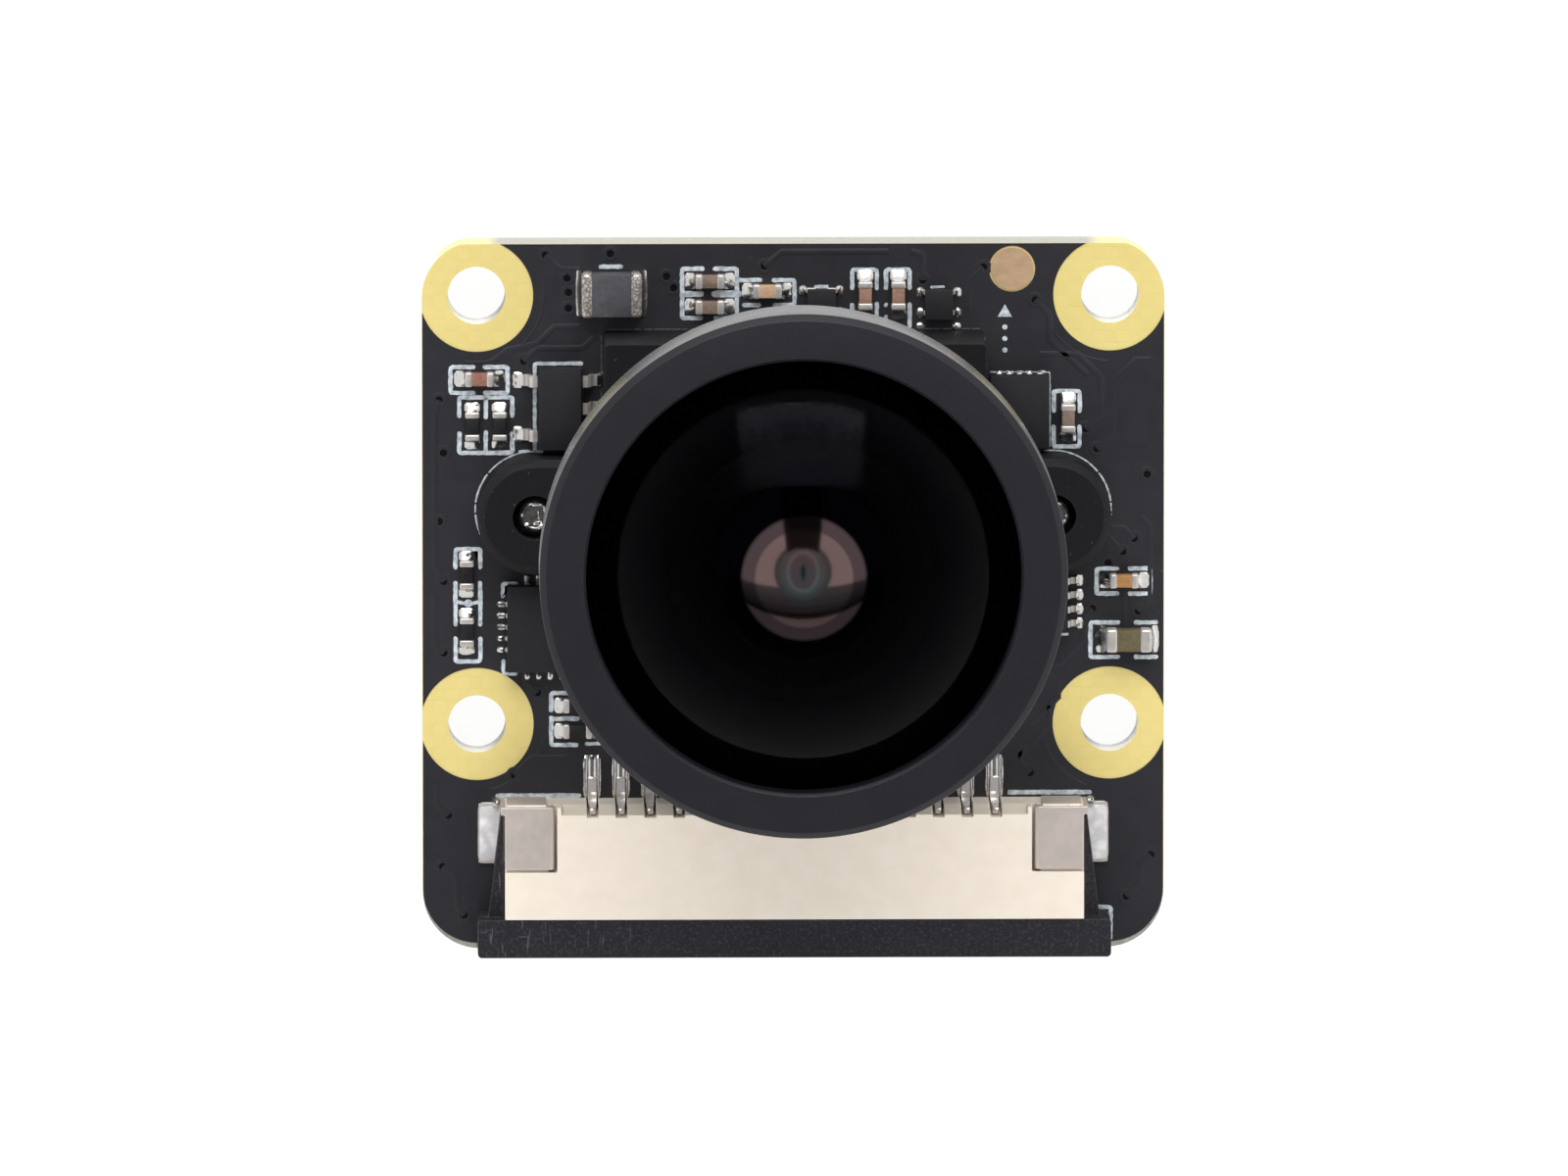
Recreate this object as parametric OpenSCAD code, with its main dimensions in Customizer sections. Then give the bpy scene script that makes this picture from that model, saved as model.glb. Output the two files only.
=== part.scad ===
// Board camera: a wide fisheye lens screwed into a moulded holder, on a small circuit board with a
// sliding-lock cable connector. Origin: lens axis on the board's back face. +Z runs out through the
// lens and -Y runs towards the connector.

/* [Circuit board] */
// Width of the board along X
board_w = 25.8; // [25.6:0.1:27]
// Length of the board along Y
board_l = 24.7; // [24.6:0.1:26]
// Distance from the lens axis to the board's far edge
board_far_y = 9.4; // [9.4:0.1:10]
// Thickness of the board
board_t = 1.6; // [1.2:0.1:2]
// Radius of the board's corners
board_corner_r = 2; // [1:0.1:2.5]
// Spacing of the mounting holes along X
hole_spacing_x = 22; // [21:0.1:22]
// Spacing of the mounting holes along Y
hole_spacing_y = 15; // [14:0.1:15]
// Diameter of the mounting holes
hole_d = 2; // [1.8:0.05:2.3]
// Height of the web that is left between the two scored grooves at a broken edge
score_web = 0.5; // [0.3:0.05:0.8]
// Half angle of the scoring blade, in degrees
score_angle = 11; // [8:1:30]
// Diameter of the round copper pad
pad_d = 1.5; // [1:0.1:1.8]

/* [Lens holder] */
// Width of the holder's square body along X
holder_w = 13.2; // [13:0.1:13.3]
// Depth of the holder's square body along Y
holder_l = 12.5; // [12.4:0.1:13]
// Height of the square body above the board
holder_box_h = 4.2; // [3.5:0.1:5]
// Height of the threaded tower's top above the board
holder_tower_h = 9.5; // [8:0.1:10]
// Distance between the holder's two screws
screw_spacing = 18; // [18:0.1:18.4]
// Radius of the ears' round ends
ear_r = 2; // [1.8:0.05:2.1]
// Thickness of the ears
ear_t = 2.3; // [2:0.1:2.6]
// Diameter of the hole in each ear
ear_hole_d = 1.55; // [1.4:0.05:1.7]

/* [Lens barrel] */
// Diameter of the lens thread
thread_d = 11.9; // [11.8:0.05:11.95]
// Radial clearance of the lens thread in the holder
thread_play = 0.05; // [0.02:0.01:0.1]
// Pitch of the lens thread, which is cut as rings
thread_pitch = 0.5; // [0.4:0.05:0.7]
// Height of the lens rim above the board
rim_h = 19; // [18.5:0.1:20]
// Outer diameter of the front ring
ring_d = 18; // [17.4:0.1:18.4]
// Diameter of the opening in the front ring
ring_bore_d = 14.84; // [14.7:0.02:14.9]
// Height of the front ring's skirt
ring_h = 3.1; // [2.8:0.1:3.4]
// How far the front ring's face falls from the glass towards its outer edge
ring_fall = 0.12; // [0:0.02:0.3]

/* [Front glass] */
// Radius of the front glass's dome
dome_r = 9.6; // [9:0.1:12]
// Radius of the hollow behind the dome
bowl_r = 4.4; // [4.2:0.1:4.8]

/* [Cable connector] */
// Number of contacts
contact_count = 15; // [11:2:15]
// Distance between contacts
contact_pitch = 1; // [0.9:0.05:1]
// Width of the connector's housing
housing_w = 20.1; // [20:0.1:20.2]
// Height of the connector's housing
housing_h = 2.6; // [2.5:0.05:2.8]
// Width of the sliding lock
slider_w = 22; // [21.8:0.1:22.2]
// Height of the sliding lock
slider_h = 2.5; // [2.3:0.05:2.6]

/* [Hidden] */
$fn = 96;
cut = 0.5; // how far a cutting tool runs past the surface that it cuts

// Board
board_mid_y = board_far_y - board_l / 2;
score_depth = (board_t - score_web) / 2;
score_run = score_depth * tan(score_angle);
pad_t = 0.04;
pad_x = 7.6;
pad_y = 8.4;

// Lens holder, with heights counted from the board's top
holder_corner_r = 0.15;
holder_tower_d = 13.2;
holder_cavity = 10.2;
window = 7.2;
filter_size = 8.3;
filter_t = 0.3;
filter_play = 0.1;
ledge_z = 2.25; // the surface that the filter lies on
floor_z = 2.6; // the floor of the threaded bore
cavity_h = 1.7;
tower_chamfer = 0.3;
ear_chamfer = 0.25;
ear_reach = 2.8;
screw_hole_d = 2;

// Holder screws
screw_head_d = 3.2;
screw_head_h = 0.7;
screw_head_edge = 0.25;
screw_tip_d = 1.04;
screw_tip_l = 0.35;
screw_below_top = 0.55;
recess_w = 0.4;
recess_l = 1.7;
recess_depth = 0.4;

// Image sensor
sensor_w = 6.2;
sensor_l = 5.8;
sensor_h = 0.4;
sensor_glass_h = 0.4;

// Lens, with heights counted down from the rim
rim_z = board_t + rim_h;
glass_play = 0.02;
bell_d = 16.7;
ring_edge = 0.22;
ring_lip = 1.2;
ring_inner_edge = 0.1;
seat_drop = 2.6;
seat_d = 15.9;
front_flange_d = 15.8;
bell_shoulder_d = 17.2;
neck_d = 13.4;
neck_drop = 6.2;
thread_top_drop = 7;
barrel_rear_drop = 15.8;
rear_chamfer = 0.3;
thread_flank = 30; // the angle of each flank to a line across the axis
thread_crest = thread_pitch / 8;
thread_root = thread_pitch / 4;
thread_slope = (thread_pitch - thread_crest - thread_root) / 2;
thread_depth = thread_slope / tan(thread_flank);
thread_turns = floor((barrel_rear_drop - rear_chamfer - thread_top_drop) / thread_pitch);
front_bore_d = 10.6;
second_seat_drop = 6.65;
middle_bore_d = 9.2;
stop_seat_drop = 9.7;
waist_d = 7.2;
waist_end_drop = 11.2;
rear_bore_d = 8.4;
spacer_t = 1.36;
spacer_wall = 0.9;
stop_t = 0.3;
stop_hole_d = 1.8;
retainer_t = 1;
retainer_hole_d = 6.4;
neck_gap = 0.08;
bowl_mouth_r = 3.9;
inner_glass_gap = 0.1;
second_t = 2.62;
second_front_r = 12;
second_back_r = 3.2;
second_hollow = 1.44;
third_t = 2.3;
third_front_r = 9;
third_back_r = 12;
rear_t = 3;
rear_front_r = 11;
rear_back_r = 9;

// Connector, with heights counted from the board's top
housing_back_y = -10.1;
housing_front_y = -14.03;
housing_bevel_run = 0.27;
housing_bevel_drop = 0.9;
contact_t = 0.3;
slot_play = 0.05;
slot_end_y = -10.45;
groove_end_y = -13.7;
groove_floor = 0.2;
tail_end_y = -9.35;
tail_t = 0.14;
heel_z = 0.35;
heel_run = 0.2;
blade_y = -10.15;
blade_t = 0.27;
blade_top = 2.2;
beam_top = 0.45;
beam_end_y = -13.6;
dimple_y = -12.6;
dimple_run = 0.3;
dimple_top = 0.62;
mouth_w = 16.4;
mouth_floor = 0.5;
mouth_top = 1.85;
mouth_end_y = -10.9;
notch_w = 1.81;
notch_end_y = -12.38;
plate_gap = 0.1; // between the plate's bent edge and the notch's side
plate_end_y = -12.3;
notch_depth = 0.22;
metal_t = 0.15;
hook_drop = 0.6;
leg_l = 0.28;
foot_w = 0.9;
foot_back_y = -10.28;
foot_end_y = -12.36;

// Sliding lock
slider_gap = 0.03;
slider_front_y = -15.38;
slider_lift = 0.05;
slider_edge_r = 0.15;
tongue_w = 15.8;
tongue_z = 1.2;
tongue_t = 0.5;
tongue_end_y = -11.3;
cable_slot_w = 16;
cable_slot_z = 0.5;
arm_root_w = 0.52;
arm_tip_w = 0.09;
arm_tip_y = -10.5;
arm_z = 0.35;
arm_h = 1.3;

// Small parts: [length, width, height] and the depth of each end terminal
SMALL_CAP = [1, 0.5, 0.5];
LARGE_CAP = [1.6, 0.82, 0.75];
SMALL_RES = [1, 0.5, 0.35];
INDUCTOR = [2.1, 1.55, 1];
small_terminal = 0.25;
large_terminal = 0.42;
body_inset = 0.025;

// Places on the board: [x, y, turn in degrees]
CAPACITORS = [
    [-10.9, 4.6, 0], [-2.9, 8, 0], [-2.9, 7.1, 0], [-0.9, 7.65, 0],
    [2.5, 7.5, 90], [3.65, 7.5, 90], [9.55, 3.2, 90], [11.5, -2.5, 0]
];
RESISTORS = [
    [-11.15, 2.95, 90], [-10.2, 2.95, 90], [-11.35, -2.25, 90],
    [-11.35, -4.25, 90], [-7.5, -6.85, 0], [-7.5, -7.75, 0]
];
LARGE_CAP_PLACE = [11.66, -4.56, 0];
INDUCTOR_PLACE = [-6.31, 7.58, 0];
REGULATOR_PLACE = [-8.1, 3.6, 0];
POWER_CHIP_PLACE = [-8.45, -4.1, 0];
LOGIC_CHIP_PLACE = [7.86, 3.46, 0];
MEMORY_CHIP_PLACE = [8.4, -3.25, 0];
OSCILLATOR_PLACE = [0.98, 7.2, 0];
SWITCH_PLACE = [5.06, 7.18, 0];

// Leaded and leadless packages
regulator_w = 1.6;
regulator_l = 2.9;
regulator_h = 1.1;
regulator_span = 2.8;
regulator_pitch = 0.95;
regulator_lead_w = 0.4;
memory_w = 2.3;
memory_l = 2;
memory_h = 0.9;
memory_span = 3.1;
memory_pitch = 0.5;
memory_lead_w = 0.22;
lead_t = 0.13;
lead_foot = 0.35;
lead_lean = 0.2;
draft = 0.08;
body_lift = 0.05;
power_chip_size = 3;
power_chip_h = 0.8;
power_chip_pitch = 0.4;
power_chip_pads = 5;
logic_chip_w = 2.05;
logic_chip_l = 2.55;
logic_chip_h = 0.75;
logic_chip_pitch = 0.35;
logic_chip_pads = 5;
land_w = 0.2;
land_l = 0.3;
land_t = 0.15;
land_out = 0.04;
tiny_w = 0.98;
tiny_l = 1.04;
tiny_h = 0.5;
tiny_pad = 0.3;
tiny_pad_out = 0.12;
tiny_pitch = 0.7;
tiny_rows = 2;

// ---- Shared shapes ----

// A rectangle about the origin with round corners, drawn with true arcs
module rounded_rectangle(w, l, r) {
    square([w - 2 * r, l], center = true);
    square([w, l - 2 * r], center = true);
    for (x = [-1, 1], y = [-1, 1])
        translate([x * (w / 2 - r), y * (l / 2 - r)]) circle(r);
}

// An outline given as [y, z], run along X and centred on X = 0
module along_x(length) {
    rotate([90, 0, 90]) linear_extrude(length, center = true) children();
}

// Sets a small part down on the board at [x, y, turn]
module on_board(place) {
    translate([place[0], place[1], board_t]) rotate(place[2]) children();
}

// A block that stands on the board, centred in X and Y
module block(w, l, h) {
    translate([-w / 2, -l / 2, 0]) cube([w, l, h]);
}

// ---- Circuit board ----

module score_cut(edge_y, inward) {
    run = inward * score_run;
    past = edge_y - inward * cut;
    translate([0, 0, board_t / 2]) for (face = [-1, 1])
        along_x(board_w + 2 * cut) polygon([
            [edge_y + run, face * board_t / 2],
            [edge_y + run, face * (board_t / 2 + cut)],
            [past, face * (board_t / 2 + cut)],
            [past, face * score_web / 2],
            [edge_y, face * score_web / 2]
        ]);
}

module circuit_board() {
    color("#26262b") difference() {
        translate([0, board_mid_y, 0])
            linear_extrude(board_t) rounded_rectangle(board_w, board_l, board_corner_r);
        for (x = [-1, 1], y = [-1, 1])
            translate([x * hole_spacing_x / 2, y * hole_spacing_y / 2, -cut])
                cylinder(d = hole_d, h = board_t + 2 * cut);
        for (x = [-1, 1])
            translate([x * screw_spacing / 2, 0, -cut])
                cylinder(d = screw_hole_d, h = board_t + 2 * cut);
        score_cut(board_far_y, -1);
        score_cut(board_far_y - board_l, 1);
    }
}

module copper_pad() {
    color("#cdae8c") translate([pad_x, pad_y, board_t]) cylinder(d = pad_d, h = pad_t);
}

// ---- Lens holder ----

module ear(side) {
    ear_x = screw_spacing / 2;
    shoulder = ear_t - ear_chamfer;
    translate([side * ear_x, 0, 0]) {
        cylinder(r = ear_r, h = shoulder);
        translate([0, 0, shoulder])
            cylinder(r1 = ear_r, r2 = ear_r - ear_chamfer, h = ear_chamfer);
    }
    translate([side * (ear_x - ear_reach / 2), 0, 0]) along_x(ear_reach) polygon([
        [-ear_r, 0],
        [ear_r, 0],
        [ear_r, shoulder],
        [ear_r - ear_chamfer, ear_t],
        [ear_chamfer - ear_r, ear_t],
        [-ear_r, shoulder]
    ]);
}

module holder_tower() {
    intersection() {
        union() {
            cylinder(d = holder_tower_d, h = holder_tower_h - tower_chamfer);
            translate([0, 0, holder_tower_h - tower_chamfer])
                cylinder(d1 = holder_tower_d, d2 = holder_tower_d - 2 * tower_chamfer, h = tower_chamfer);
        }
        linear_extrude(holder_tower_h) rounded_rectangle(holder_w, holder_l, holder_corner_r);
    }
}

module holder_hollow() {
    bore_d = thread_d + 2 * thread_play;
    recess = filter_size + filter_play;
    translate([0, 0, floor_z]) cylinder(d = bore_d, h = holder_tower_h);
    translate([0, 0, holder_tower_h - tower_chamfer])
        cylinder(d1 = bore_d, d2 = bore_d + 2 * tower_chamfer, h = tower_chamfer);
    translate([0, 0, ledge_z]) linear_extrude(floor_z) square(recess, center = true);
    linear_extrude(floor_z) square(window, center = true);
    translate([0, 0, -cut]) linear_extrude(cavity_h + cut) square(holder_cavity, center = true);
}

module lens_holder() {
    color("#26262a") translate([0, 0, board_t]) difference() {
        union() {
            linear_extrude(holder_box_h) rounded_rectangle(holder_w, holder_l, holder_corner_r);
            holder_tower();
            for (side = [-1, 1]) ear(side);
        }
        holder_hollow();
        for (side = [-1, 1])
            translate([side * screw_spacing / 2, 0, -cut])
                cylinder(d = ear_hole_d, h = ear_t + 2 * cut);
    }
}

module holder_screw() {
    head_r = screw_head_d / 2;
    tip_z = board_t + ear_t - screw_below_top;
    difference() {
        rotate_extrude() polygon([
            [0, -screw_head_h],
            [head_r - screw_head_edge, -screw_head_h],
            [head_r, screw_head_edge - screw_head_h],
            [head_r, 0],
            [ear_hole_d / 2, 0],
            [ear_hole_d / 2, tip_z - screw_tip_l],
            [screw_tip_d / 2, tip_z],
            [0, tip_z]
        ]);
        for (turn = [0, 90])
            rotate(turn) translate([-recess_l / 2, -recess_w / 2, -screw_head_h - cut])
                cube([recess_l, recess_w, recess_depth + cut]);
    }
}

module holder_screws() {
    color("#b9b7b4") for (side = [-1, 1])
        translate([side * screw_spacing / 2, 0, 0]) holder_screw();
}

// ---- Image sensor and filter ----

module image_sensor() {
    color("#2f3136") translate([0, 0, board_t]) block(sensor_w, sensor_l, sensor_h);
}

module sensor_glass() {
    color("#7d8a94", 0.4)
        translate([0, 0, board_t + sensor_h]) block(sensor_w, sensor_l, sensor_glass_h);
}

module infrared_filter() {
    color("#9fc4c9", 0.4)
        translate([0, 0, board_t + ledge_z]) block(filter_size, filter_size, filter_t);
}

// ---- Lens ----

// The section of the lens thread, upwards from the height of its lowest crest
function thread_outline(crest_r, low_z) = [
    for (i = [0:thread_turns - 1]) let (z = low_z + i * thread_pitch) each [
        [crest_r, z],
        [crest_r, z + thread_crest],
        [crest_r - thread_depth, z + thread_crest + thread_slope],
        [crest_r - thread_depth, z + thread_crest + thread_slope + thread_root]
    ]
];

module lens_barrel() {
    thread_r = thread_d / 2;
    color("#1f1f23") translate([0, 0, rim_z]) rotate_extrude() polygon([
        [thread_r - rear_chamfer, -barrel_rear_drop],
        each thread_outline(thread_r, -thread_top_drop - thread_turns * thread_pitch),
        [thread_r, -thread_top_drop],
        [neck_d / 2, -neck_drop],
        [bell_shoulder_d / 2, -ring_h - glass_play],
        [bell_d / 2, -ring_h - glass_play],
        [bell_d / 2, -ring_lip],
        [seat_d / 2, -ring_lip],
        [seat_d / 2, -seat_drop],
        [front_bore_d / 2, -seat_drop],
        [front_bore_d / 2, -second_seat_drop],
        [middle_bore_d / 2, -second_seat_drop],
        [middle_bore_d / 2, -stop_seat_drop],
        [waist_d / 2, -stop_seat_drop],
        [waist_d / 2, -waist_end_drop],
        [rear_bore_d / 2, -waist_end_drop],
        [rear_bore_d / 2, -barrel_rear_drop]
    ]);
}

module front_ring() {
    bore_r = ring_bore_d / 2;
    color("#37373c") translate([0, 0, rim_z]) rotate_extrude() polygon([
        [ring_d / 2, -ring_h],
        [ring_d / 2, -ring_fall - ring_edge],
        [ring_d / 2 - ring_edge, -ring_fall],
        [bore_r + ring_inner_edge, 0],
        [bore_r, -ring_inner_edge],
        [bore_r, -ring_lip],
        [bell_d / 2, -ring_lip],
        [bell_d / 2, -ring_h]
    ]);
}

// A flat ring or disc of the lens's inner parts, with its top face at a drop below the rim
module lens_ring(outer_d, hole_d, t, top_drop) {
    translate([0, 0, rim_z - top_drop - t]) difference() {
        cylinder(d = outer_d, h = t);
        translate([0, 0, -cut]) cylinder(d = hole_d, h = t + 2 * cut);
    }
}

module front_spacer() {
    color("#1a1a1c") lens_ring(front_bore_d, front_bore_d - 2 * spacer_wall, spacer_t, seat_drop);
}

module aperture_stop() {
    color("#141416") lens_ring(middle_bore_d, stop_hole_d, stop_t, stop_seat_drop - stop_t);
}

module rear_retainer() {
    color("#1a1a1c")
        lens_ring(rear_bore_d, retainer_hole_d, retainer_t, waist_end_drop + rear_t + glass_play);
}

// A thick meniscus: a wide dome in front, a flange under the ring's lip and a deep hollow behind
module front_glass() {
    back_z = rim_z - seat_drop + glass_play;
    lip_z = rim_z - ring_lip;
    neck_r = ring_bore_d / 2 - neck_gap;
    dome_z = lip_z - sqrt(pow(dome_r, 2) - pow(neck_r, 2));
    bowl_z = back_z - sqrt(pow(bowl_r, 2) - pow(bowl_mouth_r, 2));
    color("#0c0b10", 0.5) difference() {
        union() {
            translate([0, 0, back_z]) cylinder(d = front_flange_d, h = lip_z - back_z - 2 * glass_play);
            intersection() {
                translate([0, 0, dome_z]) sphere(dome_r);
                translate([0, 0, back_z]) cylinder(r = neck_r, h = dome_r);
            }
        }
        translate([0, 0, bowl_z]) sphere(bowl_r);
    }
}

// A disc of glass with a flat back and a domed front, given by the dome's radius
module domed_disc(d, t, front_r, back_z) {
    intersection() {
        translate([0, 0, back_z]) cylinder(d = d - inner_glass_gap, h = t);
        translate([0, 0, back_z + t - front_r]) sphere(front_r);
    }
}

module second_glass() {
    back_z = rim_z - second_seat_drop + glass_play;
    color("#23212b", 0.5) difference() {
        domed_disc(front_bore_d, second_t, second_front_r, back_z);
        translate([0, 0, back_z + second_hollow - second_back_r]) sphere(second_back_r);
    }
}

module third_glass() {
    back_z = rim_z - stop_seat_drop + stop_t + glass_play;
    color("#23212b", 0.5) intersection() {
        domed_disc(middle_bore_d, third_t, third_front_r, back_z);
        translate([0, 0, back_z + third_back_r]) sphere(third_back_r);
    }
}

module rear_glass() {
    back_z = rim_z - waist_end_drop - rear_t;
    color("#23212b", 0.5) intersection() {
        domed_disc(rear_bore_d, rear_t - glass_play, rear_front_r, back_z);
        translate([0, 0, back_z + rear_back_r]) sphere(rear_back_r);
    }
}

// ---- Cable connector ----

function contact_x(i) = (i - (contact_count - 1) / 2) * contact_pitch;

module housing_shell() {
    middle_y = (housing_back_y + housing_front_y) / 2;
    translate([0, middle_y, 0]) block(housing_w, housing_back_y - housing_front_y, housing_h);
}

// Everything that is moulded out of the connector's block
module housing_cuts() {
    bevel_w = housing_w - 2 * notch_w - 2 * metal_t;
    slot_w = contact_t + 2 * slot_play;
    along_x(bevel_w) polygon([
        [housing_back_y + cut, housing_h - housing_bevel_drop],
        [housing_back_y, housing_h - housing_bevel_drop],
        [housing_back_y - housing_bevel_run, housing_h],
        [housing_back_y - housing_bevel_run, housing_h + cut],
        [housing_back_y + cut, housing_h + cut]
    ]);
    for (i = [0:contact_count - 1]) translate([contact_x(i) - slot_w / 2, 0, 0]) {
        translate([0, slot_end_y, -cut])
            cube([slot_w, housing_back_y - slot_end_y + cut, housing_h + 2 * cut]);
        translate([0, groove_end_y, groove_floor])
            cube([slot_w, slot_end_y - groove_end_y + slot_play, mouth_floor - groove_floor + slot_play]);
    }
    translate([-mouth_w / 2, housing_front_y - cut, mouth_floor])
        cube([mouth_w, mouth_end_y - housing_front_y + cut, mouth_top - mouth_floor]);
    plate_z = housing_h - notch_depth;
    inner_x = housing_w / 2 - notch_w;
    for (side = [0, 1]) mirror([side, 0, 0]) {
        translate([inner_x, notch_end_y, plate_z])
            cube([notch_w + cut, housing_back_y - notch_end_y + cut, notch_depth + cut]);
        translate([inner_x, notch_end_y, plate_z - hook_drop - slot_play])
            cube([plate_gap + metal_t + slot_play, housing_back_y - notch_end_y + cut, hook_drop + cut]);
    }
}

module connector_housing() {
    color("#f0e5d7") translate([0, 0, board_t]) difference() {
        housing_shell();
        housing_cuts();
    }
}

// One contact: a soldered tail, an upright blade in the back slot and a sprung beam in the mouth
module contact() {
    along_x(contact_t) polygon([
        [tail_end_y, 0],
        [tail_end_y, tail_t],
        [blade_y + heel_run, tail_t],
        [blade_y, heel_z],
        [blade_y, blade_top],
        [blade_y - blade_t, blade_top],
        [blade_y - blade_t, beam_top],
        [dimple_y + dimple_run, beam_top],
        [dimple_y, dimple_top],
        [dimple_y - dimple_run, beam_top],
        [beam_end_y, beam_top],
        [beam_end_y, groove_floor],
        [blade_y - blade_t, groove_floor],
        [blade_y + slot_play, 0]
    ]);
}

module connector_contacts() {
    color("#c9c5c0") translate([0, 0, board_t]) for (i = [0:contact_count - 1])
        translate([contact_x(i), 0, 0]) contact();
}

// The rounded top of a bend along Y, a quarter of a cylinder
module bent_edge(length) {
    intersection() {
        cube([metal_t, length, metal_t]);
        translate([metal_t, 0, 0]) rotate([-90, 0, 0]) cylinder(r = metal_t, h = length);
    }
}

// A bent plate: flat on the housing's corner, hooked in at its inner edge, with a leg to the board
module hold_down(side) {
    plate_z = housing_h - notch_depth;
    wall_x = housing_w / 2;
    inner_x = wall_x - notch_w + plate_gap;
    plate_l = housing_back_y - plate_end_y;
    color("#beb3ab") translate([0, 0, board_t]) mirror([side < 0 ? 1 : 0, 0, 0]) {
        translate([inner_x + metal_t, plate_end_y, plate_z])
            cube([notch_w - plate_gap - metal_t, plate_l, metal_t]);
        translate([inner_x, plate_end_y, plate_z]) bent_edge(plate_l);
        translate([inner_x, plate_end_y, plate_z - hook_drop])
            cube([metal_t, plate_l, hook_drop]);
        translate([wall_x, housing_back_y - leg_l, 0]) cube([metal_t, leg_l, plate_z + metal_t]);
        translate([wall_x, foot_end_y, 0]) cube([foot_w, foot_back_y - foot_end_y, metal_t]);
    }
}

module hold_down_left() {
    hold_down(-1);
}

module hold_down_right() {
    hold_down(1);
}

// The lock slides along Y: a bar across the mouth, a tongue over the cable and an arm on each side
module connector_slider() {
    bar_back_y = housing_front_y - slider_gap;
    bar_l = bar_back_y - slider_front_y;
    arm_x = housing_w / 2 + slot_play;
    color("#302e34") translate([0, 0, board_t]) difference() {
        union() {
            translate([0, bar_back_y - bar_l / 2, slider_lift])
                linear_extrude(slider_h - slider_lift) rounded_rectangle(slider_w, bar_l, slider_edge_r);
            translate([-tongue_w / 2, bar_back_y - bar_l / 2, tongue_z])
                cube([tongue_w, tongue_end_y - bar_back_y + bar_l / 2, tongue_t]);
            for (side = [0, 1]) mirror([side, 0, 0])
                translate([0, 0, arm_z]) linear_extrude(arm_h) polygon([
                    [arm_x, bar_back_y - bar_l / 2],
                    [arm_x + arm_root_w, bar_back_y - bar_l / 2],
                    [arm_x + arm_root_w, bar_back_y],
                    [arm_x + arm_tip_w, arm_tip_y],
                    [arm_x, arm_tip_y]
                ]);
        }
        translate([-cable_slot_w / 2, slider_front_y - cut, cable_slot_z])
            cube([cable_slot_w, bar_l + 2 * cut, tongue_z - cable_slot_z]);
    }
}

// ---- Small two-ended parts ----

module two_ended(size, terminal) {
    block(size[0] - terminal, size[1] - 2 * body_inset, size[2] - body_inset);
    for (end = [-1, 1])
        translate([end * (size[0] - terminal) / 2, 0, 0]) block(terminal, size[1], size[2]);
}

module small_capacitor(i) {
    color("#90796b") on_board(CAPACITORS[i - 1]) two_ended(SMALL_CAP, small_terminal);
}

module large_capacitor() {
    color("#6a6052") on_board(LARGE_CAP_PLACE) two_ended(LARGE_CAP, large_terminal);
}

module small_resistor(i) {
    color("#1d1d20") on_board(RESISTORS[i - 1]) two_ended(SMALL_RES, small_terminal);
}

module power_inductor() {
    color("#58575b") on_board(INDUCTOR_PLACE) two_ended(INDUCTOR, large_terminal);
}

// ---- Chips ----

// A moulded body whose long sides lean in above and below the leads
module moulded_body(w, l, h) {
    waist = h / 2;
    rotate([90, 0, 0]) linear_extrude(l, center = true) polygon([
        [draft - w / 2, body_lift],
        [w / 2 - draft, body_lift],
        [w / 2, waist],
        [w / 2 - draft, h],
        [draft - w / 2, h],
        [-w / 2, waist]
    ]);
}

// One bent lead on the +X side, from the body's waist down to its foot
module bent_lead(body_w, body_h, span, width) {
    waist = body_h / 2;
    knee = span / 2 - lead_foot;
    rotate([90, 0, 0]) linear_extrude(width, center = true) polygon([
        [body_w / 2 - draft, waist - lead_t / 2],
        [knee - lead_t, waist - lead_t / 2],
        [knee, 0],
        [span / 2, 0],
        [span / 2, lead_t],
        [knee + lead_t * (1 - lead_lean), lead_t],
        [knee - lead_t * lead_lean, waist + lead_t / 2],
        [body_w / 2 - draft, waist + lead_t / 2]
    ]);
}

module voltage_regulator() {
    color("#2d2d30") on_board(REGULATOR_PLACE) {
        moulded_body(regulator_w, regulator_l, regulator_h);
        for (y = [-1:1]) translate([0, y * regulator_pitch, 0])
            bent_lead(regulator_w, regulator_h, regulator_span, regulator_lead_w);
        for (y = [-1, 1]) translate([0, y * regulator_pitch, 0]) mirror([1, 0, 0])
            bent_lead(regulator_w, regulator_h, regulator_span, regulator_lead_w);
    }
}

module memory_chip() {
    color("#26252a") on_board(MEMORY_CHIP_PLACE) {
        moulded_body(memory_w, memory_l, memory_h);
        for (side = [0, 1], i = [0:3]) mirror([side, 0, 0])
            translate([0, (i - 1.5) * memory_pitch, 0])
                bent_lead(memory_w, memory_h, memory_span, memory_lead_w);
    }
}

// The row of end lands that shows along one side of a leadless chip
module land_row(count, pitch, reach) {
    for (i = [0:count - 1])
        translate([reach + land_out - land_l / 2, (i - (count - 1) / 2) * pitch, 0])
            block(land_l, land_w, land_t);
}

module power_chip() {
    color("#26252a") on_board(POWER_CHIP_PLACE) {
        block(power_chip_size, power_chip_size, power_chip_h);
        for (turn = [0, 90, 180, 270])
            rotate(turn) land_row(power_chip_pads, power_chip_pitch, power_chip_size / 2);
    }
}

module logic_chip() {
    color("#2b2b30") on_board(LOGIC_CHIP_PLACE) {
        block(logic_chip_w, logic_chip_l, logic_chip_h);
        for (turn = [90, 270])
            rotate(turn) land_row(logic_chip_pads, logic_chip_pitch, logic_chip_l / 2);
    }
}

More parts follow.
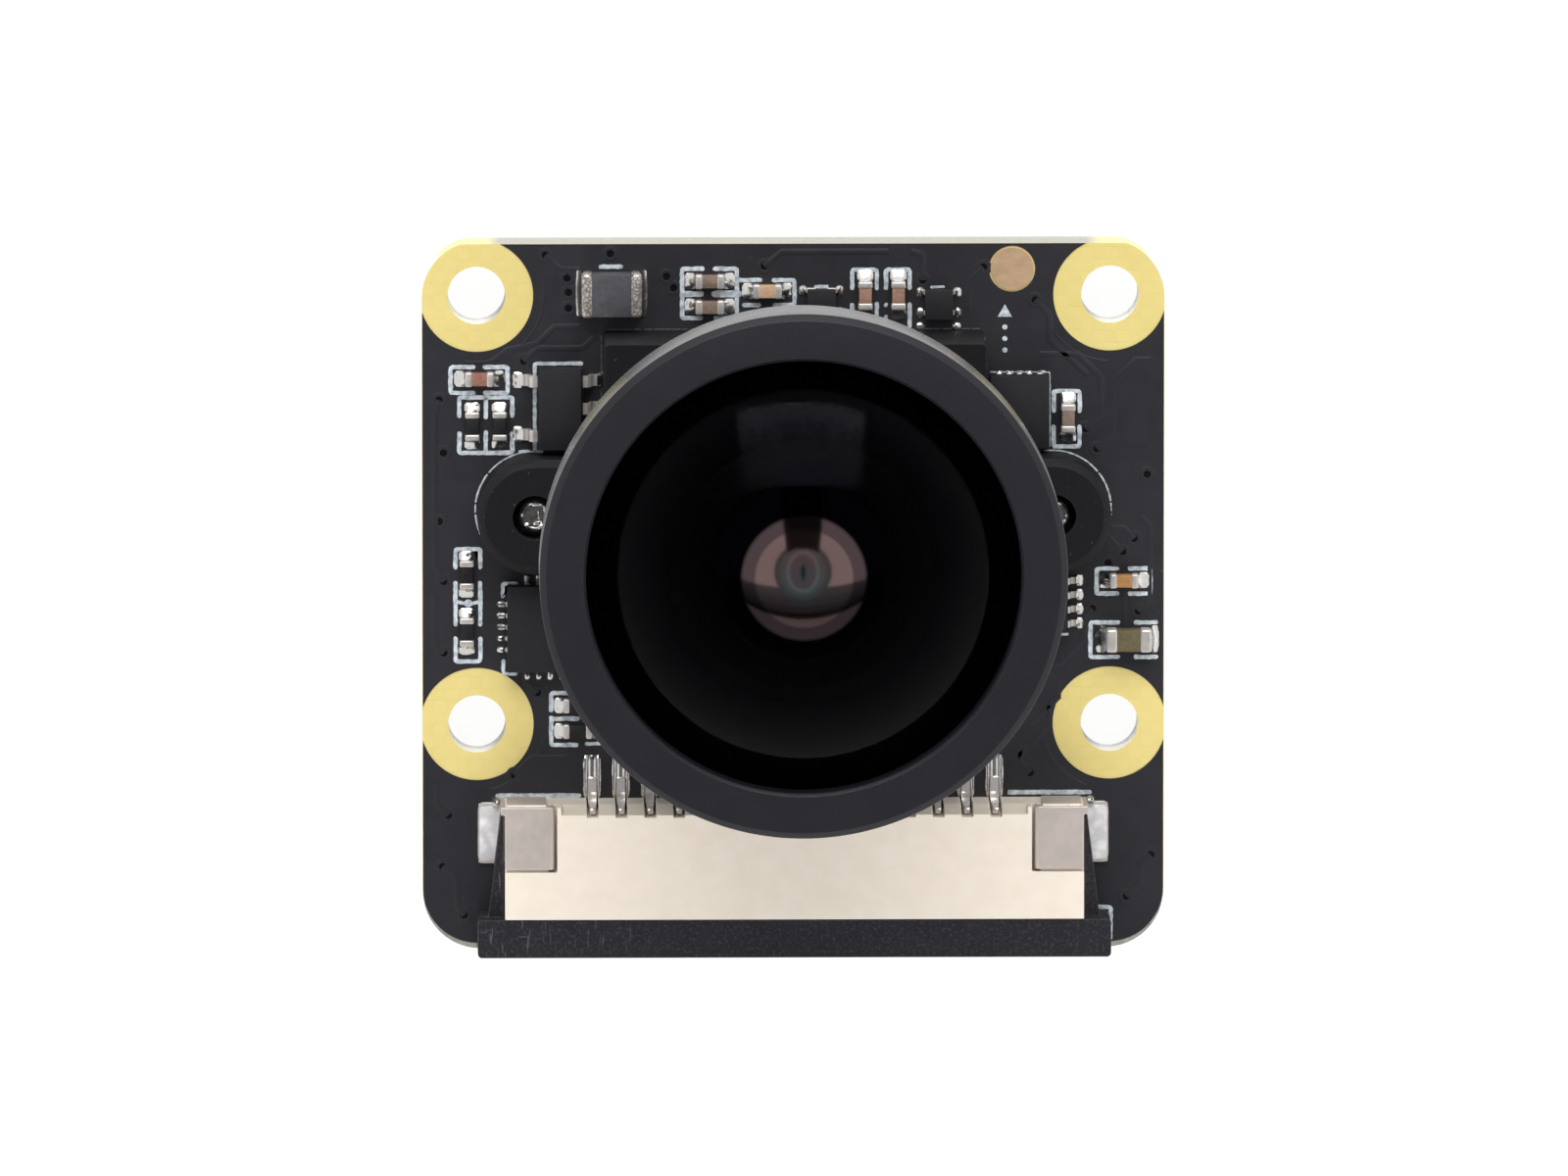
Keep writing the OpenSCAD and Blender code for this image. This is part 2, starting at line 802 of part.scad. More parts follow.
// A tiny flat package with soldered pads along two sides
module tiny_chip() {
    block(tiny_w, tiny_l, tiny_h);
    for (x = [-1, 1], i = [0:tiny_rows - 1])
        translate([x * (tiny_w + tiny_pad_out) / 2, tiny_l / 2 - tiny_pad / 2 - i * tiny_pitch, 0])
            block(tiny_pad, tiny_pad, land_t);
}

module oscillator() {
    color("#29292e") on_board(OSCILLATOR_PLACE) tiny_chip();
}

module switch_chip() {
    color("#29292e") on_board(SWITCH_PLACE) tiny_chip();
}

circuit_board();
copper_pad();
lens_holder();
holder_screws();
image_sensor();
sensor_glass();
infrared_filter();
lens_barrel();
front_ring();
front_spacer();
aperture_stop();
rear_retainer();
front_glass();
second_glass();
third_glass();
rear_glass();
connector_housing();
connector_slider();
connector_contacts();
hold_down_left();
hold_down_right();
power_inductor();
voltage_regulator();
power_chip();
logic_chip();
memory_chip();
oscillator();
switch_chip();
for (i = [1:8])
    small_capacitor(i);
large_capacitor();
for (i = [1:6])
    small_resistor(i);
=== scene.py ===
import math
import random

import bmesh
import bpy
from mathutils import Matrix, Vector


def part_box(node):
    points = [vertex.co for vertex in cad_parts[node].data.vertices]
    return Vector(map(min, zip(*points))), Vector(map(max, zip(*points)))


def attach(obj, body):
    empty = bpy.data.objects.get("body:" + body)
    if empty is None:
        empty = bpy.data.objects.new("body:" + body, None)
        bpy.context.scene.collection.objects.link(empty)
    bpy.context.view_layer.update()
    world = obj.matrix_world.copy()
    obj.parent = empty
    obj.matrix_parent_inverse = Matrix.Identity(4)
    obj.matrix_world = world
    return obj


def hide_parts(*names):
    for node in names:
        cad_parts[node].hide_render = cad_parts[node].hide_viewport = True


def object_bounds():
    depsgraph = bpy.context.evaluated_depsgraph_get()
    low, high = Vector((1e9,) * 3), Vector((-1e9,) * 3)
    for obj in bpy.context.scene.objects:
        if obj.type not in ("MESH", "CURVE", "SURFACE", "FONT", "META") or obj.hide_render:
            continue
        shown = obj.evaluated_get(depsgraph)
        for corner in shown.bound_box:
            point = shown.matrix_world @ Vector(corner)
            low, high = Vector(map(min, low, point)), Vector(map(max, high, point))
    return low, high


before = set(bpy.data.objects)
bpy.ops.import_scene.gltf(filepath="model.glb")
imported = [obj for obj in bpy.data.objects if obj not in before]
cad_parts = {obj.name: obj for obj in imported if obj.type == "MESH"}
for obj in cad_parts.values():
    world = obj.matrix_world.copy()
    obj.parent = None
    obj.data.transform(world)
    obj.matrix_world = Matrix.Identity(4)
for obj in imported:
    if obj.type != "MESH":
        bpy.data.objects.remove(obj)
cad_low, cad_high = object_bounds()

# ---- Circuit board ----
# A pressed sheet of glass cloth and yellow epoxy. The far and near edges were scored and snapped,
# the sides were routed, and the corner holes sit in rings that are left bare of solder mask.

MM = 0.001
scene = bpy.context.scene
rng = random.Random(11)


def box_mm(node):
    """Lowest and highest corner of a CAD node, in millimetres."""
    low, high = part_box(node)
    return low / MM, high / MM


def tone(red, green, blue):
    """A colour as it looks on a screen, turned into the shader's linear one."""
    def linear(part):
        part /= 255
        return part / 12.92 if part <= 0.04045 else ((part + 0.055) / 1.055) ** 2.4
    return (linear(red), linear(green), linear(blue), 1)


def shader_node(tree, kind, feeds=None, **settings):
    """A node whose inputs are links where a socket is given, and plain values otherwise."""
    made = tree.nodes.new(kind)
    for name, value in settings.items():
        setattr(made, name, value)
    for key, value in (feeds or {}).items():
        if isinstance(value, bpy.types.NodeSocket):
            tree.links.new(value, made.inputs[key])
        else:
            made.inputs[key].default_value = value
    return made


class Finish:
    """A surface finish, drawn as shader nodes with all its lengths in millimetres."""

    def __init__(self, name, **sockets):
        self.material = bpy.data.materials.new(name)
        self.material.use_nodes = True
        self.tree = self.material.node_tree
        self.shader = self.tree.nodes["Principled BSDF"]
        for socket, value in sockets.items():
            self.shader.inputs[socket.replace("_", " ")].default_value = value
        place = self.add("ShaderNodeTexCoord")
        self.place = self.add("ShaderNodeVectorMath",
            {0: place.outputs["Object"], "Scale": 1 / MM}, operation="SCALE").outputs[0]

    def add(self, kind, feeds=None, **settings):
        return shader_node(self.tree, kind, feeds, **settings)

    def noise(self, per_mm, detail=3, stretch=(1, 1, 1)):
        """Cloudy noise, with so many blotches a millimetre."""
        spread = self.add("ShaderNodeVectorMath", {0: self.place, 1: stretch}, operation="MULTIPLY")
        cloud = self.add("ShaderNodeTexNoise",
            {"Vector": spread.outputs[0], "Scale": per_mm, "Detail": detail})
        return cloud.outputs["Fac"]

    def cells(self, per_mm, feature="DISTANCE_TO_EDGE"):
        """The distance to the edges of a pattern of cells."""
        return self.add("ShaderNodeTexVoronoi", {"Vector": self.place, "Scale": per_mm},
            feature=feature).outputs["Distance"]

    def span(self, value, low, high, to_low=0.0, to_high=1.0):
        """Moves a value's range from low..high to another, and clips it there."""
        return self.add("ShaderNodeMapRange", {"Value": value, "From Min": low, "From Max": high,
            "To Min": to_low, "To Max": to_high}).outputs["Result"]

    def blend(self, share, first, second):
        """One colour where share is 0 and another where it is 1."""
        return self.add("ShaderNodeMix", {"Factor": share, 6: first, 7: second},
            data_type="RGBA").outputs[2]

    def math(self, operation, first, second=0.0):
        return self.add("ShaderNodeMath", {0: first, 1: second}, operation=operation).outputs[0]

    def edges(self, radius):
        """1 along the piece's outer edges and 0 elsewhere."""
        soft = self.add("ShaderNodeBevel", {"Radius": radius * MM}, samples=4)
        hard = self.add("ShaderNodeNewGeometry")
        meet = self.add("ShaderNodeVectorMath",
            {0: soft.outputs["Normal"], 1: hard.outputs["Normal"]}, operation="DOT_PRODUCT")
        return self.span(meet.outputs["Value"], 0.99, 0.85)

    def cloudy(self, per_mm, first, second, detail=3):
        """Two tones that drift into each other, with so many blotches a millimetre."""
        return self.blend(self.noise(per_mm, detail), tone(*first), tone(*second))

    def worn(self, share, base, pale, radius=0.05):
        """A colour whose outer edges are worn part of the way to a paler tone."""
        return self.blend(self.math("MULTIPLY", self.edges(radius), share), base, tone(*pale))

    def colour(self, socket):
        self.tree.links.new(socket, self.shader.inputs["Base Color"])
        return self

    def roughness(self, socket):
        self.tree.links.new(socket, self.shader.inputs["Roughness"])
        return self

    def patchy(self, per_mm, smooth, rough):
        """Roughness that drifts between two values."""
        return self.roughness(self.span(self.noise(per_mm), 0.3, 0.7, smooth, rough))

    def relief(self, height, depth):
        """Bumps of that depth, in millimetres."""
        bump = self.add("ShaderNodeBump", {"Height": height, "Distance": depth * MM, "Strength": 1})
        self.tree.links.new(bump.outputs["Normal"], self.shader.inputs["Normal"])
        return self


# the ends are milled past the holes and snapped between them, and the near end is painted dark as
# painted shade: each pair is from where to where one cut face, or that shade, gives way to the next
MILLED_X = (10.2, 10.8)
FAR_END_Y = (8.6, 8.9)
NEAR_SHADE_Y = (-15.15, -14.95)
CLOTH_PER_MM = 2.4


def glass_fibre():
    """Yellow epoxy over woven glass on the faces and pale cut fibres on the edges, with painted light
    and shade.
    """
    finish = Finish("glass_fibre", Roughness=0.5, IOR=1.5, Subsurface_Weight=0.08,
        Subsurface_Radius=(0.0006, 0.0005, 0.0003), Subsurface_Scale=1)
    weave = finish.add("ShaderNodeTexChecker", {"Vector": finish.place, "Scale": CLOTH_PER_MM})
    resin = finish.cloudy(0.5, (226, 208, 134), (212, 194, 120))
    woven = finish.blend(
        finish.math("MULTIPLY", weave.outputs["Fac"], 0.04), resin, tone(182, 157, 86))
    facing = finish.add("ShaderNodeNewGeometry")
    upright = finish.add("ShaderNodeSeparateXYZ", {0: facing.outputs["Normal"]})
    flat = finish.span(finish.math("ABSOLUTE", upright.outputs["Z"]), 0.9, 0.98)
    fibres = finish.noise(6, stretch=(1, 1, 4))
    place = finish.add("ShaderNodeSeparateXYZ", {0: finish.place})
    near_holes = finish.span(finish.math("ABSOLUTE", place.outputs["X"]), *MILLED_X)
    near_end_shade = finish.span(place.outputs["Y"], *NEAR_SHADE_Y, 1, 0)
    far_edge = finish.span(place.outputs["Y"], *FAR_END_Y)
    snapped = finish.blend(fibres, tone(160, 158, 148), tone(198, 195, 185))
    # painted light: the milled sides and the holes' walls are painted near white, brighter than cut
    # fibre, against the shade in them
    milled_with_painted_light = finish.blend(far_edge, tone(255, 254, 246), tone(244, 230, 166))
    routed_with_painted_light = finish.blend(near_holes, snapped, milled_with_painted_light)
    # painted shade: the near end's cut face is painted dark grey, for the shade it lies in
    cut = finish.blend(near_end_shade, routed_with_painted_light, tone(118, 116, 108))
    finish.colour(finish.blend(flat, cut, woven))
    return finish.relief(finish.math("ADD", weave.outputs["Fac"], fibres), 0.006).material


FIBRE = glass_fibre()


def dress(node, material):
    """Gives a CAD node that stays in view its finish."""
    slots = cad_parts[node].data.materials
    slots.clear()
    slots.append(material)


def soften(node, width):
    """Breaks the sharp edges of a CAD node that stays in view."""
    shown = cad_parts[node]
    weld = shown.modifiers.new("weld", "WELD")
    weld.merge_threshold = 1e-7
    bevel = shown.modifiers.new("edge", "BEVEL")
    bevel.width = width * MM
    bevel.segments = 2
    bevel.limit_method = "ANGLE"
    bevel.angle_limit = math.radians(30)
    bevel.harden_normals = False


board_low, board_high = box_mm("circuit_board")
BOARD_TOP = board_high.z
HOLES = [(x, y) for x in (-11, 11) for y in (-7.5, 7.5)]
SCREWS = [(-9, 0), (9, 0)]
dress("circuit_board", FIBRE)

# ---- Solder mask ----
# A printed skin of black epoxy over the copper on both faces of the board, open round the mounting
# holes and over the round test pad. Tracks and vias stand up a little under it.

MASK_T = 0.025
MASK_TOP = BOARD_TOP + MASK_T
# radii of the openings, and the width left bare at the sides and along the snapped ends
RING_R = 1.97
SCREW_HOLE_R = 1.02
PAD_OPENING_R = 0.8
SIDE_BARE = 0.02
SCORE_BARE = 0.115
MASK_CORNER_R = 1.9


def piece(mesh, name, materials, body="module", replaces=(), sharp=32):
    """Turns a mesh drawn in millimetres into a piece of the module."""
    bmesh.ops.recalc_face_normals(mesh, faces=mesh.faces)
    bmesh.ops.scale(mesh, vec=(MM, MM, MM), verts=mesh.verts)
    data = bpy.data.meshes.new(name)
    mesh.to_mesh(data)
    mesh.free()
    for material in materials:
        data.materials.append(material)
    data.polygons.foreach_set("use_smooth", [True] * len(data.polygons))
    data.set_sharp_from_angle(angle=math.radians(sharp))
    made = bpy.data.objects.new(name, data)
    scene.collection.objects.link(made)
    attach(made, body)
    if replaces:
        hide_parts(*replaces)
    return made


def arc(x, y, radius, start, end, steps=12):
    """Points along an arc, with its angles in degrees."""
    turns = [math.radians(start + (end - start) * i / steps) for i in range(steps + 1)]
    return [(x + radius * math.cos(a), y + radius * math.sin(a)) for a in turns]


def circle(x, y, radius, count):
    """Points all the way round."""
    return arc(x, y, radius, 0, 360 - 360 / count, count - 1)


def joined(mesh, first, second):
    """A closed form between two matching outlines. Gives back its two rows of corners."""
    rows = [[mesh.verts.new(point) for point in outline] for outline in (first, second)]
    mesh.faces.new(rows[1])
    mesh.faces.new(rows[0][::-1])
    for i in range(len(first)):
        j = (i + 1) % len(first)
        mesh.faces.new((rows[0][i], rows[0][j], rows[1][j], rows[1][i]))
    return rows


def prism(mesh, outline, low, high):
    """Raises a flat outline between two heights."""
    joined(mesh, [(x, y, low) for x, y in outline], [(x, y, high) for x, y in outline])


def board_outline(side, end, radius=2):
    """The board's outline with its edges drawn in at the sides and at the snapped ends."""
    left, right = board_low.x + side + radius, board_high.x - side - radius
    near, far = board_low.y + end + radius, board_high.y - end - radius
    corners = ((right, far, 0), (left, far, 90), (left, near, 180), (right, near, 270))
    return [point for x, y, turn in corners for point in arc(x, y, radius, turn, turn + 90)]


def carve(target, cutter):
    """Cuts one mesh piece out of another, and removes the cutter."""
    cut = target.modifiers.new("cut", "BOOLEAN")
    cut.operation = "DIFFERENCE"
    cut.solver = "EXACT"
    cut.object = cutter
    shaped = bpy.data.meshes.new_from_object(target.evaluated_get(
        bpy.context.evaluated_depsgraph_get()))
    target.modifiers.clear()
    target.data = shaped
    bpy.data.objects.remove(cutter)


def solder_mask():
    """Satin black epoxy with a faint orange peel and a few grey specks of dust."""
    finish = Finish("solder_mask", Roughness=0.44, IOR=1.5, Specular_IOR_Level=0.5)
    base = finish.cloudy(0.35, (31, 30, 35), (39, 38, 43), 4)
    specks = finish.span(finish.noise(7, 1), 0.76, 0.8)
    finish.colour(finish.blend(finish.math("MULTIPLY", specks, 0.25), base, tone(96, 95, 98)))
    finish.patchy(1.5, 0.4, 0.48)
    return finish.relief(finish.noise(5, 2), 0.003).material


MASK = solder_mask()


def mask_skin(name, low, high):
    """One face's skin, with its openings cut."""
    skin = bmesh.new()
    prism(skin, board_outline(SIDE_BARE, SCORE_BARE, MASK_CORNER_R), low, high)
    skin = piece(skin, name, [MASK])
    rounds = [circle(x, y, RING_R, 96) for x, y in HOLES]
    rounds += [circle(x, y, SCREW_HOLE_R, 48) for x, y in SCREWS]
    if low > 0:
        pad_low, pad_high = box_mm("copper_pad")
        middle = (pad_low + pad_high) / 2
        rounds.append(circle(middle.x, middle.y, PAD_OPENING_R, 48))
    openings = bmesh.new()
    for outline in rounds:
        prism(openings, outline, low - 1, high + 1)
    cutter = bpy.data.meshes.new("openings")
    bmesh.ops.scale(openings, vec=(MM, MM, MM), verts=openings.verts)
    bmesh.ops.recalc_face_normals(openings, faces=openings.faces)
    openings.to_mesh(cutter)
    openings.free()
    tool = bpy.data.objects.new("openings", cutter)
    scene.collection.objects.link(tool)
    carve(skin, tool)


mask_skin("solder_mask_front", BOARD_TOP, MASK_TOP)

# ---- Snapped web ----
# What snapping the boards apart left along the near edge: a thin web of torn glass fibre, a little
# proud of the score line.

# how far it stands out, how far round the corners it runs, and how far in from the sides it stays
WEB = 0.078
WEB_REACH = 2.05
WEB_SIDE = 0.012


def snapped_fibre():
    """Torn glass fibre along a snapped edge, grey and cloudy."""
    finish = Finish("snapped_fibre", Roughness=0.8)
    finish.colour(finish.cloudy(3, (104, 102, 96), (176, 173, 163)))
    return finish.relief(finish.noise(8), 0.02).material


web = bmesh.new()
strip = [(x, y - WEB) for x, y in board_outline(WEB_SIDE, 0) if y < board_low.y + WEB_REACH]
prism(web, strip, 0.02, BOARD_TOP + 0.004)
piece(web, "near_web", [snapped_fibre()])

# ---- Mask on the underside ----
# The same skin of black epoxy behind the board, open round the mounting holes and the screws, with
# no test pad.

mask_skin("solder_mask_back", -MASK_T, 0)

# ---- Tracks and vias ----
# Copper tracks etched under the mask, which show only as faint ridges, and plated holes between the
# two faces, each a small crater that the mask has sunk into.

TRACK_W = 0.24
TRACK_H = 0.014
TRACK_SLOPE = 0.05
# how deep each raised thing on a face starts inside the mask
SUNK = 0.002
VIAS = [
    (-8.6, 8.9), (-6.35, 8.95), (-9.35, 5.2), (-12.3, 3.85), (-12.15, 2), (-4.4, 8.15),
    (-4.15, 7.75), (-1, 8.5), (6.6, 8.45), (8.4, 7.3), (4.5, 8), (10.55, 2.1), (10.15, 2.8),
    (11.85, -1.05), (11.45, -1.5), (10.95, -1.9), (-12.15, -2.5), (-12.15, -5), (-8.9, -6.4),
    (10.4, -3.5), (12, -3.6), (8.25, -9.25), (12.45, -12.15), (11.6, -13.6), (-11.45, -14.2),
    (-12, -10.7), (-12.2, -12.5), (-7.85, 8.1), (-7.8, 7.6), (-7.8, 7.05), (5.6, -9.2),
    (-5.2, -9.3), (-3.4, -8.1), (3.6, -8.3), (0.3, -8.9), (-9.7, -9.3), (12.3, 1.2), (-12.3, -0.4),
]
TRACKS = [
    [(-12.3, 3.85), (-12.45, 3.3), (-12.45, -1.9), (-12.15, -2.5)],
    [(-9.35, 5.2), (-8.9, 5.65), (-7.3, 5.65), (-6.9, 6.05)],
    [(-8.6, 8.9), (-8.1, 8.4), (-7.4, 8.4)],
    [(-7.4, 6.4), (-8.3, 6.4), (-8.9, 5.8), (-9.9, 5.6), (-10.5, 5.15)],
    [(10.15, 2.8), (10.7, 3.35), (10.7, 4.6), (9.9, 5.4), (8.6, 5.4)],
    [(10.55, 2.1), (11.1, 2.65), (11.1, 4.4), (11.9, 5.2), (12.4, 5.2)],
    [(11.85, -1.05), (11.5, -0.7), (11.1, -0.7), (10.7, -0.3)],
    [(11.45, -1.5), (10.9, -0.95), (10.2, -0.95), (9.8, -0.55)],
    [(11.5, -2.8), (11.5, -4.1)],
    [(12, -3.6), (12.4, -3.2), (12.4, -0.6), (12.1, -0.3)],
    [(10.4, -3.5), (10.1, -3.8), (10.1, -4.6), (9.3, -5.4), (8.6, -5.4)],
    [(8.2, -7.6), (9.2, -6.6), (9.2, -6.1)],
    [(7.6, -8.9), (8.9, -7.6), (8.9, -6.9)],
    [(8.25, -9.25), (7.9, -8.9), (7.9, -8.3)],
    [(-8.9, -6.4), (-9.3, -6), (-9.3, -5.7)],
    [(-12.15, -5), (-12.45, -4.7), (-12.45, -3)],
    [(-12, -10.7), (-12.4, -10.3), (-12.4, -9.6)],
    [(-12.2, -12.5), (-11.7, -12.9), (-11.7, -13.9), (-11.45, -14.2)],
    [(12.45, -12.15), (12.1, -12.5), (12.1, -13.1), (11.6, -13.6)],
    [(-9.7, -9.3), (-9.1, -8.7), (-7.9, -8.7)],
    [(6.6, 8.45), (6.1, 7.95), (6.1, 6.9)],
    [(8.4, 7.3), (8.9, 6.8), (8.9, 5.9), (10.2, 4.7)],
    [(4.5, 8), (4.5, 8.9), (4.1, 9)],
    [(-1, 8.5), (-0.4, 9), (3.3, 9)],
    [(-5.2, -9.3), (-5.2, -8.9), (-5.9, -8.2), (-6.6, -8.2)],
]
# copper that curves past each mounting hole: place, first angle and last angle
HOLE_ARCS = [(-11, 7.5, -100, 10), (11, 7.5, 180, 268), (-11, -7.5, -80, -10), (11, -7.5, 190, 250)]
HOLE_ARC_R = 2.34
HOLE_ARC_W = 0.1
# the room that tracks on the back leave round a hole, at the sides, and at the near and far ends
HOLE_ROOM = 2.3
BACK_SIDE = 12.6
BACK_NEAR, BACK_FAR = -15, 9.1
# a via's section: the mask runs up to a lip and sinks in the middle
CRATER = [(0.3, 0), (0.24, 0.012), (0.17, 0.014), (0.13, 0.006), (0.09, 0.003), (0, 0.002)]


def offset_path(points, width):
    """The two sides of a band of that width along a path, mitred at its corners."""
    left, right = [], []
    for i, (x, y) in enumerate(points):
        before = Vector(points[max(i - 1, 0)])
        after = Vector(points[min(i + 1, len(points) - 1)])
        here = Vector((x, y))
        first = (here - before).normalized() if i else (after - here).normalized()
        last = (after - here).normalized() if i < len(points) - 1 else first
        along = (first + last).normalized()
        across = Vector((-along.y, along.x))
        reach = width / 2 / max(0.5, across.dot(Vector((-first.y, first.x))))
        left.append(here + across * reach)
        right.append(here - across * reach)
    return left, right


def band(mesh, rings):
    """Closes two matching rings that each run out along one side of a path and back on the other."""
    made = []
    count = len(rings[0])
    for i in range(count):
        j = (i + 1) % count
        made.append(mesh.faces.new((rings[0][i], rings[0][j], rings[1][j], rings[1][i])))
    for ring in rings:
        for i in range(count // 2 - 1):
            made.append(mesh.faces.new((ring[i], ring[i + 1], ring[count - 2 - i], ring[count - 1 - i])))
    return made


def ridge(mesh, points, width, low, high, slope):
    """A band with sloping sides along a path."""
    rings = []
    for wide, height in ((width, low), (width - 2 * slope, high)):
        left, right = offset_path(points, wide)
        rings.append([mesh.verts.new((p.x, p.y, height)) for p in left + right[::-1]])
    band(mesh, rings)


def turned(mesh, x, y, profile, steps, surfaces=None):
    """A round form about an upright line, from a profile of radius and height."""
    rings = []
    for radius, height in profile:
        if radius == 0:
            rings.append([mesh.verts.new((x, y, height))])
        else:
            turns = [math.tau * i / steps for i in range(steps)]
            rings.append([mesh.verts.new((x + radius * math.cos(a), y + radius * math.sin(a), height))
                for a in turns])
    for k in range(len(rings) - 1):
        for i in range(steps):
            j = (i + 1) % steps
            corners = [rings[k][i % len(rings[k])], rings[k][j % len(rings[k])],
                rings[k + 1][j % len(rings[k + 1])], rings[k + 1][i % len(rings[k + 1])]]
            distinct = list(dict.fromkeys(corners))
            if len(distinct) > 2:
                face = mesh.faces.new(distinct)
                face.material_index = surfaces[k] if surfaces else 0


def via_pit():
    """The sunken middle of a via, where the mask pools dark and glossy."""
    finish = Finish("via_pit", Roughness=0.25, Specular_IOR_Level=0.3)
    finish.colour(finish.cloudy(6, (6, 6, 8), (16, 16, 19)))
    return finish.relief(finish.noise(9), 0.004).material


def clear_of_holes(route):
    """Whether a track keeps its distance from every hole and from the board's edge."""
    for (x0, y0), (x1, y1) in zip(route, route[1:]):
        for t in (0, 0.25, 0.5, 0.75, 1):
            x, y = x0 + (x1 - x0) * t, y0 + (y1 - y0) * t
            crowded = any(math.hypot(x - a, y - b) < HOLE_ROOM for a, b in HOLES + SCREWS)
            if crowded or abs(x) > BACK_SIDE or not BACK_NEAR < y < BACK_FAR:
                return False
    return True


PIT = via_pit()
front_relief = bmesh.new()
back_relief = bmesh.new()
front_faces = (MASK_TOP - SUNK, MASK_TOP + TRACK_H)
back_faces = (-MASK_T + SUNK, -MASK_T - TRACK_H)
# the back's tracks are the front's, turned a quarter and drawn in
for route in TRACKS:
    ridge(front_relief, route, TRACK_W, *front_faces, TRACK_SLOPE)
    turned_round = [(-y * 0.9, x * 0.8 - 1.5) for x, y in route]
    if clear_of_holes(turned_round):
        ridge(back_relief, turned_round, TRACK_W, *back_faces, TRACK_SLOPE)
for x, y, start, end in HOLE_ARCS:
    ridge(front_relief, arc(x, y, HOLE_ARC_R, start, end, 14), HOLE_ARC_W,
        MASK_TOP - SUNK, MASK_TOP + TRACK_H * 0.7, 0.03)
for x, y in VIAS:
    for relief, base, up in ((front_relief, MASK_TOP - SUNK, 1), (back_relief, -MASK_T + SUNK, -1)):
        turned(relief, x, y, [(r, base + up * h) for r, h in CRATER], 20, [0, 0, 0, 1, 1])
piece(front_relief, "tracks_front", [MASK, PIT])
piece(back_relief, "tracks_back", [MASK, PIT])

# ---- Test pad ----
# A round spot of bare copper near the far edge, rolled and lightly toned by the air.


def toned_copper():
    """Bare copper, brushed one way and dulled by the air."""
    finish = Finish("toned_copper", Roughness=0.5, Metallic=0.55, Specular_IOR_Level=0.4)
    streaks = finish.noise(1.4, 4, (1, 5, 1))
    finish.colour(finish.blend(streaks, tone(194, 161, 126), tone(216, 185, 152)))
    finish.patchy(4, 0.42, 0.6)
    return finish.relief(streaks, 0.004).material


dress("copper_pad", toned_copper())
soften("copper_pad", 0.015)

# ---- White print ----
# Ink outlines screen printed on the mask round each part, a little ragged at their edges. A plain
# pointer and three dots stand beside the test pad.

INK_H = 0.012
INK_W = 0.15
FAINT_W = 0.03


def print_ink():
    """Thin blue-white ink that lets some of the black through."""
    finish = Finish("print_ink", Roughness=0.6)
    thin = finish.span(finish.noise(5, 5), 0.35, 0.6)
    finish.colour(finish.blend(thin, tone(150, 160, 168), tone(202, 210, 215)))
    return finish.relief(finish.noise(12), 0.006).material


def thin_ink():
    """The same ink where hardly any came through the screen."""
    finish = Finish("thin_ink", Roughness=0.6)
    finish.colour(finish.cloudy(6, (62, 64, 68), (104, 108, 113)))
    return finish.relief(finish.noise(12), 0.004).material


INK = print_ink()


def walk(points):
    """The same path with a point every so often, kept at its corners."""
    step = 0.12
    made = [points[0]]
    for (x0, y0), (x1, y1) in zip(points, points[1:]):
        length = math.hypot(x1 - x0, y1 - y0)
        count = max(1, round(length / step))
        made += [(x0 + (x1 - x0) * i / count, y0 + (y1 - y0) * i / count)
            for i in range(1, count + 1)]
    return made


def rounded_path(points):
    """The same path with each corner drawn as a small curve."""
    radius = 0.09
    made = [points[0]]
    for before, corner, after in zip(points, points[1:], points[2:]):
        corner = Vector(corner)
        back_leg, front_leg = Vector(before) - corner, Vector(after) - corner
        reach = min(radius, back_leg.length / 3, front_leg.length / 3)
        start, end = corner + back_leg.normalized() * reach, corner + front_leg.normalized() * reach
        for t in (0, 0.35, 0.65, 1):
            made.append(tuple(start * (1 - t) ** 2 + corner * 2 * t * (1 - t) + end * t * t))
    return made + [points[-1]]


def stroke(mesh, points, width=INK_W, ragged=0.012, height=INK_H):
    """A line of ink with rounded ends and an uneven edge."""
    path = walk(rounded_path(points))
    left, right = offset_path(path, width)
    end = Vector(path[-1]) - Vector(path[-2])
    start = Vector(path[1]) - Vector(path[0])
    end_turn = math.degrees(math.atan2(end.y, end.x))
    start_turn = math.degrees(math.atan2(start.y, start.x))
    outline = ([tuple(p) for p in right]
        + arc(*path[-1], width / 2, end_turn - 90, end_turn + 90, 6)[1:-1]
        + [tuple(p) for p in left[::-1]]
        + arc(*path[0], width / 2, start_turn + 90, start_turn + 270, 6)[1:-1])
    rough = [(x + rng.uniform(-ragged, ragged), y + rng.uniform(-ragged, ragged)) for x, y in outline]
    prism(mesh, rough, MASK_TOP - SUNK, MASK_TOP + height + rng.uniform(0, 0.002))


def spot(mesh, x, y, radius, height):
    """A printed dot."""
    top = MASK_TOP + height
    turned(mesh, x, y, [(radius, MASK_TOP), (radius, top), (0, top)], 16)


def split_frame(mesh, x0, x1, y0, y1, gap, across=False):
    """A printed rectangle in two halves, with a gap in the middle of its long sides."""
    if across:
        middle = (y0 + y1) / 2
        halves = [[(x0, middle + gap), (x0, y1), (x1, y1), (x1, middle + gap)],
            [(x0, middle - gap), (x0, y0), (x1, y0), (x1, middle - gap)]]
    else:
        middle = (x0 + x1) / 2
        halves = [[(middle - gap, y1), (x0, y1), (x0, y0), (middle - gap, y0)],
            [(middle + gap, y1), (x1, y1), (x1, y0), (middle + gap, y0)]]
    for half in halves:
        stroke(mesh, half)


def mark(points, width=INK_W, height=INK_H):
    """A line of the full ink."""
    stroke(marks, points, width, height=height)


